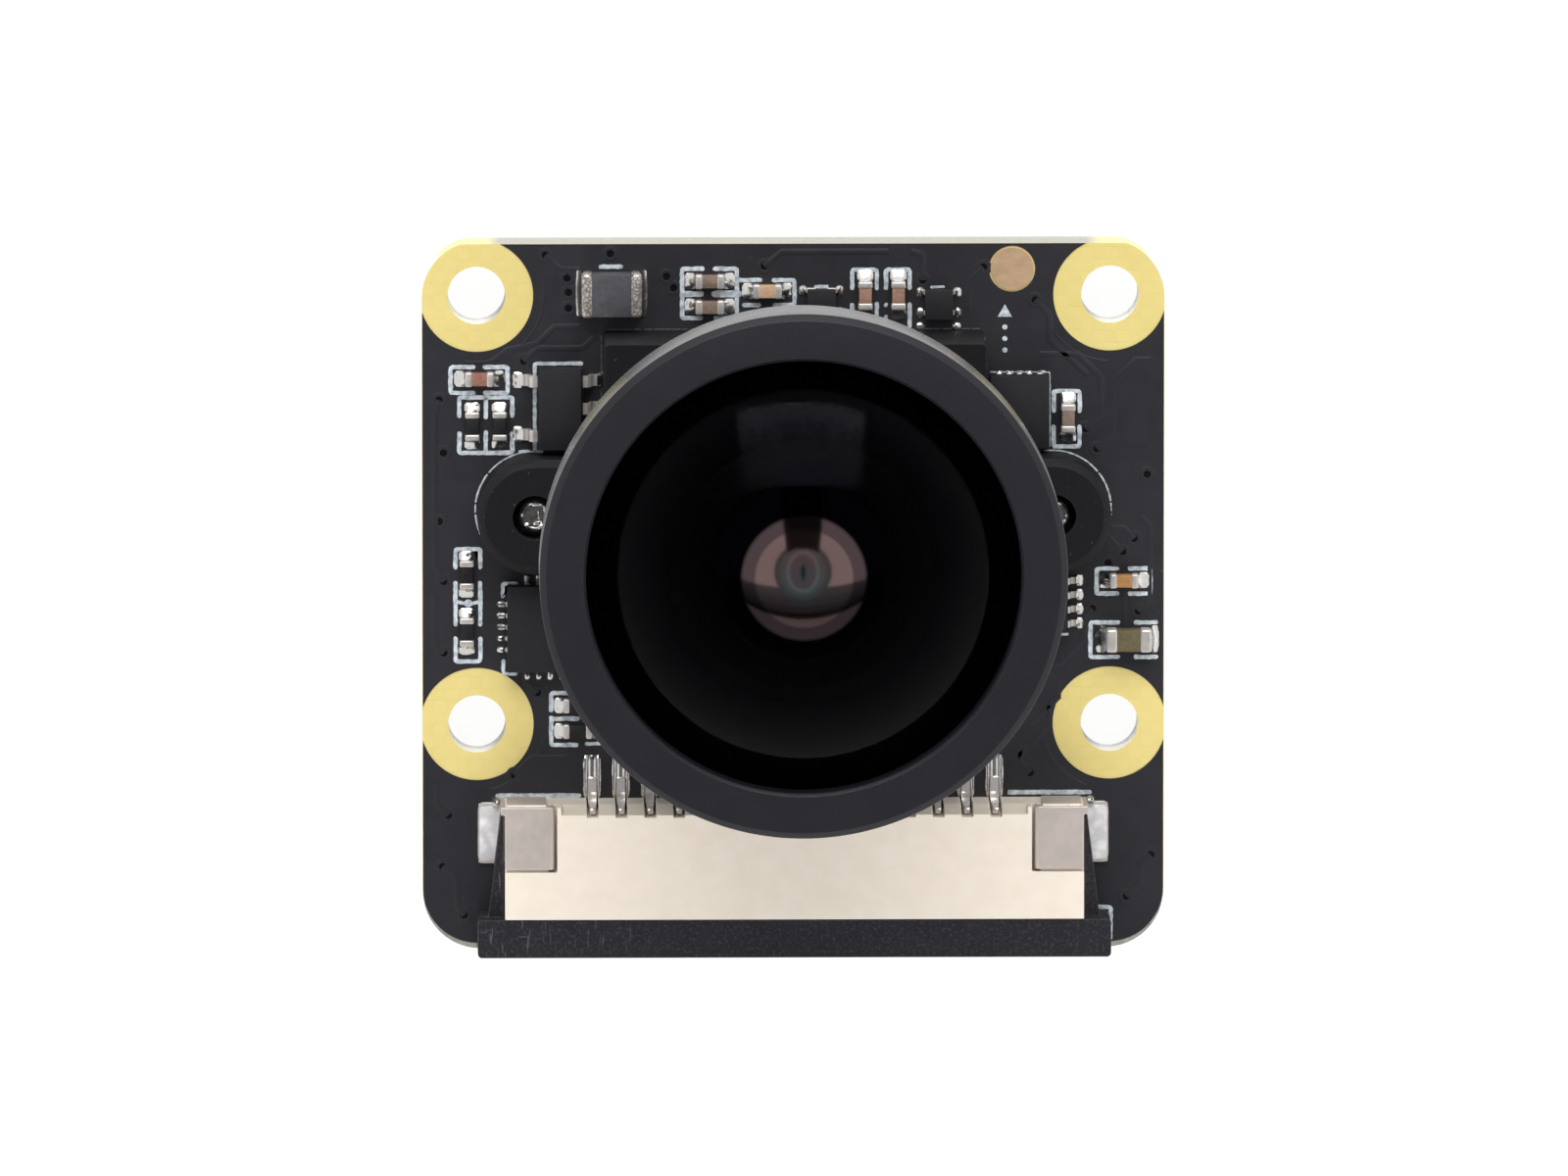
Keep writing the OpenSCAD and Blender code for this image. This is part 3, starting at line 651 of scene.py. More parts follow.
def dashes(mesh, start, end, count):
    """A broken line of faint print, with gaps shorter than its dashes."""
    start, end = Vector(start), Vector(end)
    for i in range(count):
        near = start.lerp(end, (i + rng.uniform(0, 0.3)) / count)
        far = near + (end - start) * 0.8 * rng.uniform(0.6, 1.2) / count
        stroke(mesh, [tuple(near), tuple(far)], FAINT_W, 0.003, 0.006)


marks = bmesh.new()
faint_marks = bmesh.new()
split_frame(marks, -11.9, -9.92, 4.1, 5, 0.2)
split_frame(marks, 10.55, 12.42, -2.98, -2.1, 0.22)
split_frame(marks, 9.05, 9.95, 2.18, 4.12, 0.28, across=True)
# the two upright capacitors over the lens, whose frames are broken off below
for left, right in ((2.05, 2.9), (3.22, 4.04)):
    mark([(left, 7.735), (left, 8.375), (right, 8.375), (right, 7.735)])
mark([(2.05, 7.14), (2.05, 6.98)])
mark([(2.9, 7.18), (2.9, 6.72)])
mark([(4.04, 7.16), (4.04, 6.4)])
for y in (7.14, 6.72):
    mark([(3.22, y - 0.01), (3.22, y + 0.02)], width=0.13)
# the large capacitor's frame has no right side, because the board ends there
mark([(11.3, -3.99), (10.34, -3.99), (10.34, -5.2), (11.3, -5.2)])
mark([(11.91, -3.99), (12.63, -3.99)])
mark([(11.91, -5.2), (12.63, -5.2)])
# the upright resistor pair shares its middle line
mark([(-11.6, 3.3), (-11.6, 3.94), (-9.76, 3.94), (-9.76, 3.3)])
mark([(-11.6, 2.68), (-11.6, 2), (-9.76, 2), (-9.76, 2.68)])
mark([(-10.68, 3.9), (-10.68, 3.25)])
mark([(-10.68, 2.72), (-10.68, 2.04)])
# the resistor column
mark([(-11.74, -2), (-11.74, -1.37), (-10.88, -1.37), (-10.88, -2)])
mark([(-11.74, -4.5), (-11.74, -5.3), (-10.88, -5.3), (-10.88, -4.5)])
mark([(-11.74, -2.55), (-11.74, -4)])
mark([(-10.88, -2.55), (-10.88, -4)])
mark([(-11.7, -3.2), (-11.45, -3.27), (-11.15, -3.27), (-10.92, -3.2)], width=0.13)
spot(marks, -11.3, -3.27, 0.14, 0.018)
# the three capacitors over the lens
mark([(-3.15, 8.42), (-3.86, 8.42), (-3.86, 6.7), (-3.2, 6.7)])
mark([(-2.72, 8.42), (-1.96, 8.42), (-1.96, 6.75)])
mark([(-3.82, 7.54), (-3.2, 7.54)], width=0.2)
mark([(-2.72, 7.54), (-1.9, 7.54)], width=0.24)
mark([(-2.7, 6.7), (-2, 6.7)])
mark([(-1.9, 8.02), (-1.15, 8.02)])
mark([(-0.68, 8.02), (0.04, 8.02), (0.04, 7.15), (-0.64, 7.15)])
mark([(-1.7, 7.15), (-1.2, 7.15)])
# bars at the inductor and at the two tiny chips
mark([(-6.68, 8.5), (-5.98, 8.5)])
mark([(0.78, 7.79), (1.18, 7.79)], width=0.12)
mark([(4.8, 7.77), (5.22, 7.77)], width=0.09)
# the regulator, the power chip, the logic chip and the memory chip
mark([(-7.36, 5.12), (-8.98, 5.12), (-8.98, 2.06), (-8.75, 2.06)], width=0.13)
mark([(-9.5, 2.04), (-9.2, 2.06)], width=0.1)
mark([(-9.62, -2.58), (-10.1, -2.58), (-10.1, -3.02)], width=0.13)
mark([(-10.08, -5.3), (-10.08, -5.74), (-9.65, -5.74)], width=0.13)
mark([(6.85, 4.79), (8.92, 4.79), (8.92, 2.2)], width=0.04, height=0.006)
for x in (7.46, 7.79, 8.12, 8.6):
    mark([(x, 4.79), (x + 0.14, 4.79)], width=0.09)
mark([(9.28, -4.4), (9.55, -4.4)], width=0.08)
# the two resistors beside the connector's contacts
mark([(-7.85, -6.42), (-8.42, -6.42), (-8.42, -7.02)])
mark([(-8.42, -7.28), (-8.42, -8.24), (-7.55, -8.24)])
mark([(-8.38, -7.32), (-7.5, -7.32)])
mark([(-7.2, -8.2), (-6.68, -8.2)], width=0.12)
# the connector's outline behind and beside it
mark([(-10.28, -10.02), (-7.45, -10.02)], width=0.16)
mark([(7.53, -9.94), (10.3, -9.94)], width=0.16)
mark([(10.6, -13.98), (11.06, -13.98), (11.06, -15.05)], width=0.14)
# the outline of the lens holder, which its own base all but covers: round each ear an arc in five
# strokes, by first angle, last angle and width, and broken lines along the box
EAR_ARCS = [(97, 40, 0.05), (37, 8, 0.06), (5, -2, 0.05), (-5, -52, 0.06), (-56, -97, FAINT_W)]
EAR_R = 2.05
for side, (ear_x, ear_y) in zip((-1, 1), SCREWS):
    for start, end, width in EAR_ARCS:
        ear_path = [(ear_x + side * x, ear_y + y) for x, y in arc(0, 0, EAR_R, start, end, 10)]
        stroke(marks if width > FAINT_W else faint_marks, ear_path, width, 0.008)
    dashes(faint_marks, (side * 6.66, 6.1), (side * 6.66, 2.2), 14)
dashes(faint_marks, (-6.5, 6.31), (6.5, 6.31), 40)
# a filled pointer and three spots by the test pad
prism(marks, [(7.1, 6.72), (7.6, 6.72), (7.35, 7.16)], MASK_TOP - SUNK, MASK_TOP + INK_H)
for y in (6.36, 5.96, 5.56):
    spot(marks, 7.35, y, 0.09, INK_H)
piece(marks, "white_print", [INK])
piece(faint_marks, "faint_print", [thin_ink()])

# ---- Solder ----
# Bright tin alloy that has run up the end of each part and out over its pad, with small hollows
# and wrinkles where it froze.


def bright_solder():
    """Bright tin alloy, gently rippled."""
    finish = Finish("bright_solder", Metallic=1, Roughness=0.22)
    finish.colour(finish.cloudy(3, (222, 219, 216), (246, 244, 240)))
    finish.patchy(4, 0.12, 0.3)
    return finish.relief(finish.noise(3.5, 2), 0.012).material


SOLDER = bright_solder()


def heading(turn):
    """The flat direction at an angle in degrees."""
    return Vector((math.cos(math.radians(turn)), math.sin(math.radians(turn))))


def lump(mesh, place, size, turn, height, steps=(10, 8), round_by=4.0):
    """A closed low form on the board. height gives its rise at (u, v), each from -1 to 1."""
    across, along = steps
    twist = Matrix.Rotation(math.radians(turn), 2)
    top, bottom = [], []
    for j in range(along + 1):
        for i in range(across + 1):
            u, v = 2 * i / across - 1, 2 * j / along - 1
            pull = 1 - 0.22 * (abs(u) ** round_by) * (abs(v) ** round_by)
            spot = twist @ Vector((u * pull * size[0] / 2, v * pull * size[1] / 2))
            x, y = place[0] + spot.x, place[1] + spot.y
            top.append(mesh.verts.new((x, y, place[2] + height(u, v))))
            bottom.append(mesh.verts.new((x, y, place[2] - 0.01)))
    wide = across + 1
    for j in range(along):
        for i in range(across):
            a, b, c, d = j * wide + i, j * wide + i + 1, (j + 1) * wide + i + 1, (j + 1) * wide + i
            mesh.faces.new([top[k] for k in (a, b, c, d)])
            mesh.faces.new([bottom[k] for k in (d, c, b, a)])
    rim = (list(range(wide)) + [j * wide + across for j in range(1, along + 1)]
        + [along * wide + i for i in range(across - 1, -1, -1)]
        + [j * wide for j in range(along - 1, 0, -1)])
    for a, b in zip(rim, rim[1:] + rim[:1]):
        mesh.faces.new((bottom[a], bottom[b], top[b], top[a]))


def fillet(mesh, x, y, turn, reach, width, rise, steps=(10, 8)):
    """Solder from a terminal at (x, y) out over its pad, in the direction of turn."""
    phase = rng.uniform(0, math.tau)
    wobble = rng.uniform(0.008, 0.02)

    def height(u, v):
        out = (u + 1) / 2
        slope = rise * (1 - out) ** 2.1
        bead = 0.05 * math.sqrt(max(0.0, 1 - out ** 4))
        edge = max(0.0, 1 - abs(v) ** 3.5)
        wave = wobble * math.sin(5 * out + phase) * math.cos(4 * v + phase)
        return 0.012 + (slope * (0.55 + 0.45 * edge) + bead * edge) + wave * edge

    away = heading(turn)
    lump(mesh, (x + away.x * reach / 2, y + away.y * reach / 2, MASK_TOP), (reach, width), turn,
        height, steps)


def hump(u, v):
    """A rounded rise, 1 at its middle and 0 round its rim."""
    return max(0.0, (1 - u * u) * (1 - v * v)) ** 0.5


def bead(mesh, x, y, size, rise, turn=0, steps=(8, 8)):
    """A rounded drop of solder on a small pad."""
    phase = rng.uniform(0, math.tau)

    def height(u, v):
        return 0.01 + rise * hump(u, v) * (1 + 0.2 * math.sin(3 * u + phase))

    lump(mesh, (x, y, MASK_TOP), size, turn, height, steps, round_by=2)


# ---- Chip capacitors, chip resistors and the inductor ----
# Fired blocks with a tinned cap dipped over each end. The capacitors are brown layered ceramic,
# the resistors are glazed black on top, and the inductor is a grey ferrite block.


def merge(mesh, part):
    """Adds a finished part to a mesh."""
    data = bpy.data.meshes.new("part")
    part.to_mesh(data)
    part.free()
    mesh.from_mesh(data)
    bpy.data.meshes.remove(data)


def put(mesh, x, y, turn):
    """Turns a mesh that was drawn at the origin, and moves it to its place."""
    spin = Matrix.Rotation(math.radians(turn), 4, "Z")
    bmesh.ops.transform(mesh, matrix=spin, verts=mesh.verts)
    bmesh.ops.translate(mesh, vec=(x, y, 0), verts=mesh.verts)


def rounded_block(mesh, low, high, radius, segments, surface):
    """A box between two corners with all its edges rounded."""
    part = bmesh.new()
    bmesh.ops.create_cube(part, size=1)
    size = Vector(high) - Vector(low)
    bmesh.ops.scale(part, vec=size, verts=part.verts)
    bmesh.ops.translate(part, vec=(Vector(low) + Vector(high)) / 2, verts=part.verts)
    bmesh.ops.bevel(part, geom=part.edges[:], offset=min(radius, min(size) * 0.49),
        segments=segments, profile=0.5, affect="EDGES")
    for face in part.faces:
        face.material_index = surface
    merge(mesh, part)


def fired_ceramic(name, light, dark):
    """Dull ceramic with fine speckle and faint layers."""
    finish = Finish(name, Roughness=0.55, Specular_IOR_Level=0.4)
    speckle = finish.noise(9)
    layers = finish.noise(2, 2, (1, 1, 12))
    share = finish.math("MULTIPLY", finish.math("ADD", speckle, layers), 0.5)
    fired = finish.blend(finish.span(share, 0.35, 0.65), tone(*dark), tone(*light))
    finish.colour(finish.worn(0.35, fired, light))
    return finish.relief(speckle, 0.008).material


def grainy_tin():
    """Plated tin over a rough paste, full of fine pits."""
    finish = Finish("grainy_tin", Metallic=0.6, Roughness=0.45)
    pits = finish.span(finish.cells(7), 0, 0.2)
    grain = finish.cloudy(8, (176, 168, 162), (226, 218, 212))
    finish.colour(finish.blend(pits, tone(120, 112, 106), grain))
    finish.patchy(5, 0.35, 0.55)
    return finish.relief(finish.noise(7), 0.012).material


def dipped_tin():
    """Smooth dipped tin, cloudy and soft in its shine."""
    finish = Finish("dipped_tin", Metallic=0.6, Roughness=0.4)
    finish.colour(finish.cloudy(4, (190, 184, 179), (228, 222, 217)))
    finish.patchy(5, 0.3, 0.5)
    return finish.relief(finish.noise(5), 0.005).material


GRAINY = grainy_tin()
TIN = dipped_tin()
CERAMICS = {name: fired_ceramic(name, light, dark) for name, light, dark in (
    ("red_brown_ceramic", (158, 112, 96), (128, 88, 74)),
    ("brown_ceramic", (142, 122, 108), (112, 94, 82)),
    ("tan_ceramic", (206, 172, 140), (182, 146, 114)),
    ("ochre_ceramic", (178, 134, 80), (150, 110, 62)),
    ("olive_ceramic", (104, 94, 68), (84, 75, 52)),
    ("rose_ceramic", (164, 130, 112), (138, 104, 88)),
    ("black_glaze", (26, 26, 29), (14, 14, 16)),
    ("grey_ferrite", (80, 79, 84), (64, 63, 68)))}
# the batches that the eight small capacitors come from, in the order of their numbers
CAPACITOR_BATCHES = ("red_brown", "brown", "brown", "tan", "rose", "rose", "brown", "ochre")


def two_ended(node, ceramic, terminal, pads, pad_width, rise, radius=0.06, ends=TIN):
    """Builds one chip part over its CAD block: body, two dipped ends, and the solder at each.
    pads is how far the solder runs out at the two ends."""
    low, high = box_mm(node)
    middle = (low + high) / 2
    length, width = high.x - low.x, high.y - low.y
    turn = 0 if length > width else 90
    half, side = max(length, width) / 2, min(length, width) / 2
    inset = 0.03
    body = bmesh.new()
    rounded_block(body, (-half + terminal * 0.6, -side + inset, low.z + 0.01),
        (half - terminal * 0.6, side - inset, high.z - inset), 0.03, 2, 0)
    for end in (-1, 1):
        near, far = sorted((end * half, end * (half - terminal)))
        rounded_block(body, (near, -side, low.z), (far, side, high.z), radius, 3, 1)
    put(body, middle.x, middle.y, turn)
    piece(body, node + "_body", [CERAMICS[ceramic], ends], replaces=[node])
    joint = bmesh.new()
    for end, reach in zip((0, 180), pads):
        start = middle.xy + heading(turn + end) * (half - 0.04)
        fillet(joint, start.x, start.y, turn + end, reach, pad_width, rise)
    piece(joint, node + "_solder", [SOLDER])


for i, batch in enumerate(CAPACITOR_BATCHES, 1):
    two_ended(f"capacitor_{i}", batch + "_ceramic", terminal=0.25,
        pads=(0.42, 0.42), pad_width=0.56, rise=0.3)
for i in range(1, 7):
    two_ended(f"resistor_{i}", "black_glaze", terminal=0.22,
        pads=(0.36, 0.36), pad_width=0.54, rise=0.2)
two_ended("large_capacitor", "olive_ceramic", terminal=0.42,
    pads=(0.3, 0.4), pad_width=0.95, rise=0.42, radius=0.1)
two_ended("power_inductor", "grey_ferrite", terminal=0.42,
    pads=(0.24, 0.24), pad_width=1.6, rise=0.5, radius=0.14, ends=GRAINY)

# ---- Chips ----
# Moulded black epoxy packages with tinned legs or lands at their edges, laser marked on the real
# ones and left plain here.


def moulded_epoxy():
    """Dull black epoxy with a fine eroded grain, paler along its edges."""
    finish = Finish("moulded_epoxy", Roughness=0.65, Specular_IOR_Level=0.26)
    cloud = finish.cloudy(3, (27, 26, 29), (36, 35, 38), 4)
    finish.colour(finish.worn(0.3, cloud, (66, 65, 69)))
    return finish.relief(finish.noise(14, 2), 0.006).material


EPOXY = moulded_epoxy()


LEG_T = 0.13
FOOT = 0.35
DRAFT = 0.08


def leaded_chip(node, width, legs_right, legs_left, leg_w, reach):
    """A package with bent legs on its two X sides. legs_ are their places along Y, and reach is how
    far the solder runs out past each foot."""
    low, high = box_mm(node)
    middle = (low + high) / 2
    waist = (low.z + high.z) / 2
    case = bmesh.new()
    half = width / 2
    outline = [(-half + DRAFT, low.z + 0.05), (half - DRAFT, low.z + 0.05), (half, waist),
        (half - DRAFT, high.z), (-half + DRAFT, high.z), (-half, waist)]
    joined(case, *([(middle.x + x, y, z) for x, z in outline] for y in (low.y, high.y)))
    for vert in case.verts:
        if abs(vert.co.z - waist) > 0.01:
            vert.co.y -= math.copysign(0.06, vert.co.y - middle.y)
    bmesh.ops.bevel(case, geom=case.edges[:], offset=0.025, segments=2, profile=0.5,
        affect="EDGES")
    span = (high.x - low.x) / 2
    knee = span - FOOT
    # one leg's side view: out of the waist, down, and out along the board
    path = [(half - 0.1, waist), (knee - LEG_T * 0.9, waist),
        (knee - LEG_T * 0.35, waist - 0.05), (knee + 0.02, low.z + LEG_T * 0.9),
        (knee + LEG_T * 0.8, low.z + LEG_T * 0.55), (span - 0.01, low.z + LEG_T * 0.5)]
    above, below = offset_path(path, LEG_T)
    joints = bmesh.new()
    for side, legs in ((1, legs_right), (-1, legs_left)):
        for y in legs:
            rows = [[case.verts.new((middle.x + side * p.x, middle.y + y + edge, p.y))
                for p in above + below[::-1]] for edge in (-leg_w / 2, leg_w / 2)]
            for face in band(case, rows):
                face.material_index = 1
            fillet(joints, middle.x + side * (span - 0.12), middle.y + y,
                0 if side > 0 else 180, reach, leg_w + 0.16, 0.12, (8, 6))
    piece(case, node + "_case", [EPOXY, TIN], replaces=[node])
    piece(joints, node + "_solder", [SOLDER])


leaded_chip("voltage_regulator", 1.6, (-0.95, 0, 0.95), (-0.95, 0.95), 0.4, 0.38)
MEMORY_LEGS = (-0.75, -0.25, 0.25, 0.75)
leaded_chip("memory_chip", 2.3, MEMORY_LEGS, MEMORY_LEGS, 0.22, 0.26)

LAND_W = 0.2
LAND_DEPTH = 0.3
LAND_H = 0.16


def flat_chip(node, size, lands, drop):
    """A leadless package. lands are (x, y, turn) from its middle, each with a drop of solder
    beyond it."""
    low, high = box_mm(node)
    middle = (low + high) / 2
    case = bmesh.new()
    half_w, half_l = size[0] / 2, size[1] / 2
    rounded_block(case, (middle.x - half_w, middle.y - half_l, low.z + 0.02),
        (middle.x + half_w, middle.y + half_l, high.z), 0.035, 2, 0)
    joints = bmesh.new()
    for x, y, turn in lands:
        land = bmesh.new()
        rounded_block(land, (-LAND_DEPTH, -LAND_W / 2, low.z), (0.03, LAND_W / 2, low.z + LAND_H),
            0.03, 1, 1)
        put(land, middle.x + x, middle.y + y, turn)
        merge(case, land)
        away = heading(turn)
        bead(joints, middle.x + x + away.x * drop[0] / 2, middle.y + y + away.y * drop[0] / 2,
            drop, 0.09, turn, (6, 6))
    piece(case, node + "_case", [EPOXY, TIN], replaces=[node])
    piece(joints, node + "_solder", [SOLDER])


power_lands = []
for turn in (0, 90, 180, 270):
    cos, sin = math.cos(math.radians(turn)), math.sin(math.radians(turn))
    power_lands += [(1.5 * cos - s * sin, 1.5 * sin + s * cos, turn)
        for s in (-0.8, -0.4, 0, 0.4, 0.8)]
flat_chip("power_chip", (3, 3), power_lands, drop=(0.36, 0.24))
flat_chip("logic_chip", (2.05, 2.55), [
    (s, side * 1.275, 90 * side) for side in (-1, 1) for s in (-0.7, -0.35, 0, 0.35, 0.7)],
    drop=(0.1, 0.2))
for tiny, upper in (("oscillator", 0.45), ("switch_chip", 0.4)):
    flat_chip(tiny, (0.98, 1.04), [
        (side * 0.49, y, 0 if side > 0 else 180) for side in (-1, 1) for y in (-0.31, upper)],
        drop=(0.3, 0.35))
spare_pads = bmesh.new()
for x in (4.41, 5.67):
    bead(spare_pads, x, 6.38, (0.3, 0.3), 0.07)
piece(spare_pads, "switch_spare_pads", [SOLDER])

# ---- Lens holder ----
# One black moulding: a square box over the sensor, a threaded tower for the lens, and an ear on
# each side that takes a screw from behind the board.


def holder_plastic():
    """Glass-filled black plastic, finely matt, with a little moulding residue on it."""
    finish = Finish("holder_plastic", Roughness=0.6, Specular_IOR_Level=0.22)
    cloud = finish.cloudy(1.2, (13, 12, 16), (19, 18, 22), 4)
    specks = finish.span(finish.noise(6, 1), 0.74, 0.78)
    dusty = finish.blend(finish.math("MULTIPLY", specks, 0.3), cloud, tone(110, 110, 112))
    finish.colour(finish.worn(0.16, dusty, (84, 84, 88)))
    return finish.relief(finish.noise(10), 0.008).material


dress("lens_holder", holder_plastic())
soften("lens_holder", 0.05)

# ---- Holder screws ----
# Two plated self-tapping screws, pushed up through the board into the ears. Their cross heads
# show behind the board and their blunt tips in the ears' holes.


def plated_steel():
    """Steel under a cloudy white plating."""
    finish = Finish("plated_steel", Metallic=1, Roughness=0.3)
    finish.colour(finish.cloudy(2.5, (150, 147, 143), (196, 192, 187)))
    finish.patchy(5, 0.22, 0.4)
    return finish.relief(finish.noise(6), 0.01).material


dress("holder_screws", plated_steel())
soften("holder_screws", 0.04)
# the cropped end of each thread, below the ear's top: a bright burr round a hollow, by its section
# from the tip's height, with two folded chips of metal in it, by place, size, turn, foot and rise
EAR_H = 2.3
TIP_Z = BOARD_TOP + EAR_H - 0.55
BURR = [(0.5, -0.06), (0.51, 0.01), (0.47, 0.07), (0.42, 0.06), (0.4, 0.01), (0.34, -0.02),
    (0.34, -0.06), (0.5, -0.06)]
FOLDS = [(0.13, 0.04, (0.07, 0.3), 8, 0.02, 0.08, (6, 8)),
    (0.1, -0.24, (0.26, 0.14), 12, 0.01, 0.05, (8, 6))]
tips = bmesh.new()
for x, y in SCREWS:
    turned(tips, x, y, [(radius, TIP_Z + z) for radius, z in BURR], 40)
for vert in tips.verts:
    turn = math.atan2(vert.co.y, vert.co.x - math.copysign(SCREWS[1][0], vert.co.x))
    vert.co.z += 0.02 * math.sin(5 * turn) + 0.012 * math.sin(11 * turn + 1)
for x, y in SCREWS:
    for off_x, off_y, size, turn, foot, rise, steps in FOLDS:
        lump(tips, (x + off_x, y + off_y, TIP_Z), size, turn,
            lambda u, v: foot + rise * hump(u, v), steps)
bmesh.ops.remove_doubles(tips, verts=tips.verts, dist=1e-6)
piece(tips, "screw_tips", [SOLDER])

# ---- Sensor and filter ----
# The silicon sensor's dark package with its cover glass, under a square blue-tinted filter that
# is glued in the holder. Both show only down the barrel, or with the lens screwed out.


def sensor_face():
    """Bare silicon, dark and faintly iridescent, over its fine grid of cells."""
    finish = Finish("sensor_face", Roughness=0.3)
    finish.colour(finish.blend(finish.cells(3), tone(40, 44, 52), tone(60, 58, 74)))
    return finish.relief(finish.noise(20), 0.002).material


def clear_pane(name, tint, rough):
    """Polished glass with a tint."""
    finish = Finish(name, Roughness=rough, IOR=1.5, Transmission_Weight=0.9)
    finish.colour(finish.blend(finish.noise(0.8), tint, tone(232, 240, 242)))
    return finish.relief(finish.noise(2), 0.0005).material


dress("image_sensor", sensor_face())
dress("sensor_glass", clear_pane("cover_glass", tone(214, 226, 230), 0.03))
dress("infrared_filter", clear_pane("filter_glass", tone(150, 206, 214), 0.03))

# ---- Lens barrel ----
# Turned aluminium, anodised black: a fine thread below, a neck, and a wide bell that holds the
# front glass. The front ring is pressed over the bell and rolls its lip over the glass.

LENS = "lens_barrel"


def black_anodise(name, low, high, rough, gloss, grain=0.006):
    """Anodised turned metal, satin, with a fine blasted grain."""
    finish = Finish(name, Roughness=rough, Specular_IOR_Level=gloss)
    blast = finish.noise(16)
    finish.colour(finish.worn(0.3, finish.cloudy(0.7, low, high, 4), (104, 102, 101)))
    finish.roughness(finish.span(blast, 0.3, 0.7, rough - 0.06, rough + 0.06))
    return finish.relief(blast, grain).material


def lathe(profile, steps):
    """A closed turned form about the lens axis, from its section's corner points. A radius may
    be a function of the share of a turn."""
    mesh = bmesh.new()
    rings = []
    for radius, z in profile:
        ring = []
        for i in range(steps):
            r = radius(i / steps) if callable(radius) else radius
            ring.append(mesh.verts.new((r * math.cos(math.tau * i / steps),
                r * math.sin(math.tau * i / steps), z)))
        rings.append(ring)
    for ring, after in zip(rings, rings[1:] + rings[:1]):
        for i in range(steps):
            j = (i + 1) % steps
            mesh.faces.new((ring[i], ring[j], after[j], after[i]))
    return mesh


def eased(profile, radii):
    """The same closed section with its corners rounded, each by its own radius."""
    steps = 4
    made = []
    count = len(profile)
    for i, radius in enumerate(radii):
        here = Vector(profile[i])
        before = Vector(profile[i - 1]) - here
        after = Vector(profile[(i + 1) % count]) - here
        if not radius:
            made.append(tuple(here))
            continue
        corner = before.angle(after)
        reach = min(radius / math.tan(corner / 2), before.length * 0.45, after.length * 0.45)
        start, end = here + before.normalized() * reach, here + after.normalized() * reach
        for k in range(steps + 1):
            t = k / steps
            made.append(tuple(start * (1 - t) ** 2 + here * 2 * t * (1 - t) + end * t * t))
    return made


ring_low, ring_high = box_mm("front_ring")
RIM_Z = ring_high.z
RING_R_OUT = ring_high.x
BORE_R = 7.42
LIP_Z = RIM_Z - 1.2
# how far the ring's face falls to its edge, and the width of the bevel there
RING_FALL = 0.12
RING_EDGE = 0.22
# the radius of the bell inside the ring
BELL_R = 8.35
ring_section = [
    (RING_R_OUT, ring_low.z), (RING_R_OUT, RIM_Z - RING_FALL - RING_EDGE),
    (RING_R_OUT - RING_EDGE, RIM_Z - RING_FALL), (BORE_R + 0.1, RIM_Z), (BORE_R, RIM_Z - 0.1),
    (BORE_R, LIP_Z), (BELL_R, LIP_Z), (BELL_R, ring_low.z)]
ring = lathe(eased(ring_section, [0.08, 0.03, 0.03, 0.04, 0.03, 0.02, 0, 0.05]), 240)
for face in ring.faces:
    if all(math.hypot(vert.co.x, vert.co.y) > RING_R_OUT - 0.02 for vert in face.verts):
        face.material_index = 1
# the outer wall takes a lighter, glossier copy of the ring's anodise: its lighter colour is painted
# light, for the bright crescent that wall shows
piece(ring, "front_ring_turned",
    [black_anodise("ring_face", (20, 19, 26), (27, 26, 33), 0.5, 0.34),
        black_anodise("ring_skirt_painted_light", (38, 37, 42), (46, 45, 50), 0.29, 0.6, 0.002)],
    body=LENS, replaces=["front_ring"], sharp=25)

barrel_low = box_mm("lens_barrel")[0]
THREAD_R = 5.95
THREAD_DEPTH = 0.27
THREAD_PITCH = 0.5
THREAD_LOW = barrel_low.z + 0.3
THREAD_TOP = RIM_Z - 7
ROWS_A_TURN = 10
RUN_OUT = 0.3


def thread_radius(z, turn):
    """The right-hand thread's radius at a height, for a share of a whole turn."""
    from_crest = abs(2 * ((z / THREAD_PITCH - turn) % 1) - 1)
    tooth = min(1, max(0, (0.75 - from_crest) / 0.625))
    run_out = min(1, (z - THREAD_LOW) / RUN_OUT, (THREAD_TOP - z) / RUN_OUT)
    return THREAD_R - THREAD_DEPTH * (1 - tooth * run_out)


thread_rows = round((THREAD_TOP - THREAD_LOW) / THREAD_PITCH * ROWS_A_TURN)
thread_section = []
for k in range(thread_rows + 1):
    height = THREAD_LOW + (THREAD_TOP - THREAD_LOW) * k / thread_rows
    thread_section.append((lambda turn, z=height: thread_radius(z, turn), height))
# up the outside from the thread to the ring, down the seats of the glasses, and out at the foot
bell_section = [
    (5.72, THREAD_TOP + 0.05), (6.7, RIM_Z - 6.2), (8.6, ring_low.z - 0.02),
    (BELL_R, ring_low.z - 0.02), (BELL_R, LIP_Z), (7.95, LIP_Z), (7.95, RIM_Z - 2.6),
    (5.3, RIM_Z - 2.6), (5.3, RIM_Z - 6.65), (4.6, RIM_Z - 6.65), (4.6, RIM_Z - 9.7),
    (3.6, RIM_Z - 9.7), (3.6, RIM_Z - 11.2), (4.2, RIM_Z - 11.2), (4.2, barrel_low.z),
    (5.6, barrel_low.z)]
bell_section = eased(bell_section, [0, 0.12, 0.1] + [0] * 12 + [0.05])
piece(lathe(thread_section + bell_section, 168), "lens_barrel_turned",
    [black_anodise("barrel_anodise", (22, 21, 25), (31, 30, 34), 0.45, 0.4)],
    body=LENS, replaces=["lens_barrel"], sharp=28)

# ---- Inside the lens ----
# The spacer between the first two glasses, the thin stop with its small hole, and the retaining
# ring behind the last glass, all blackened so that no light glances off them.


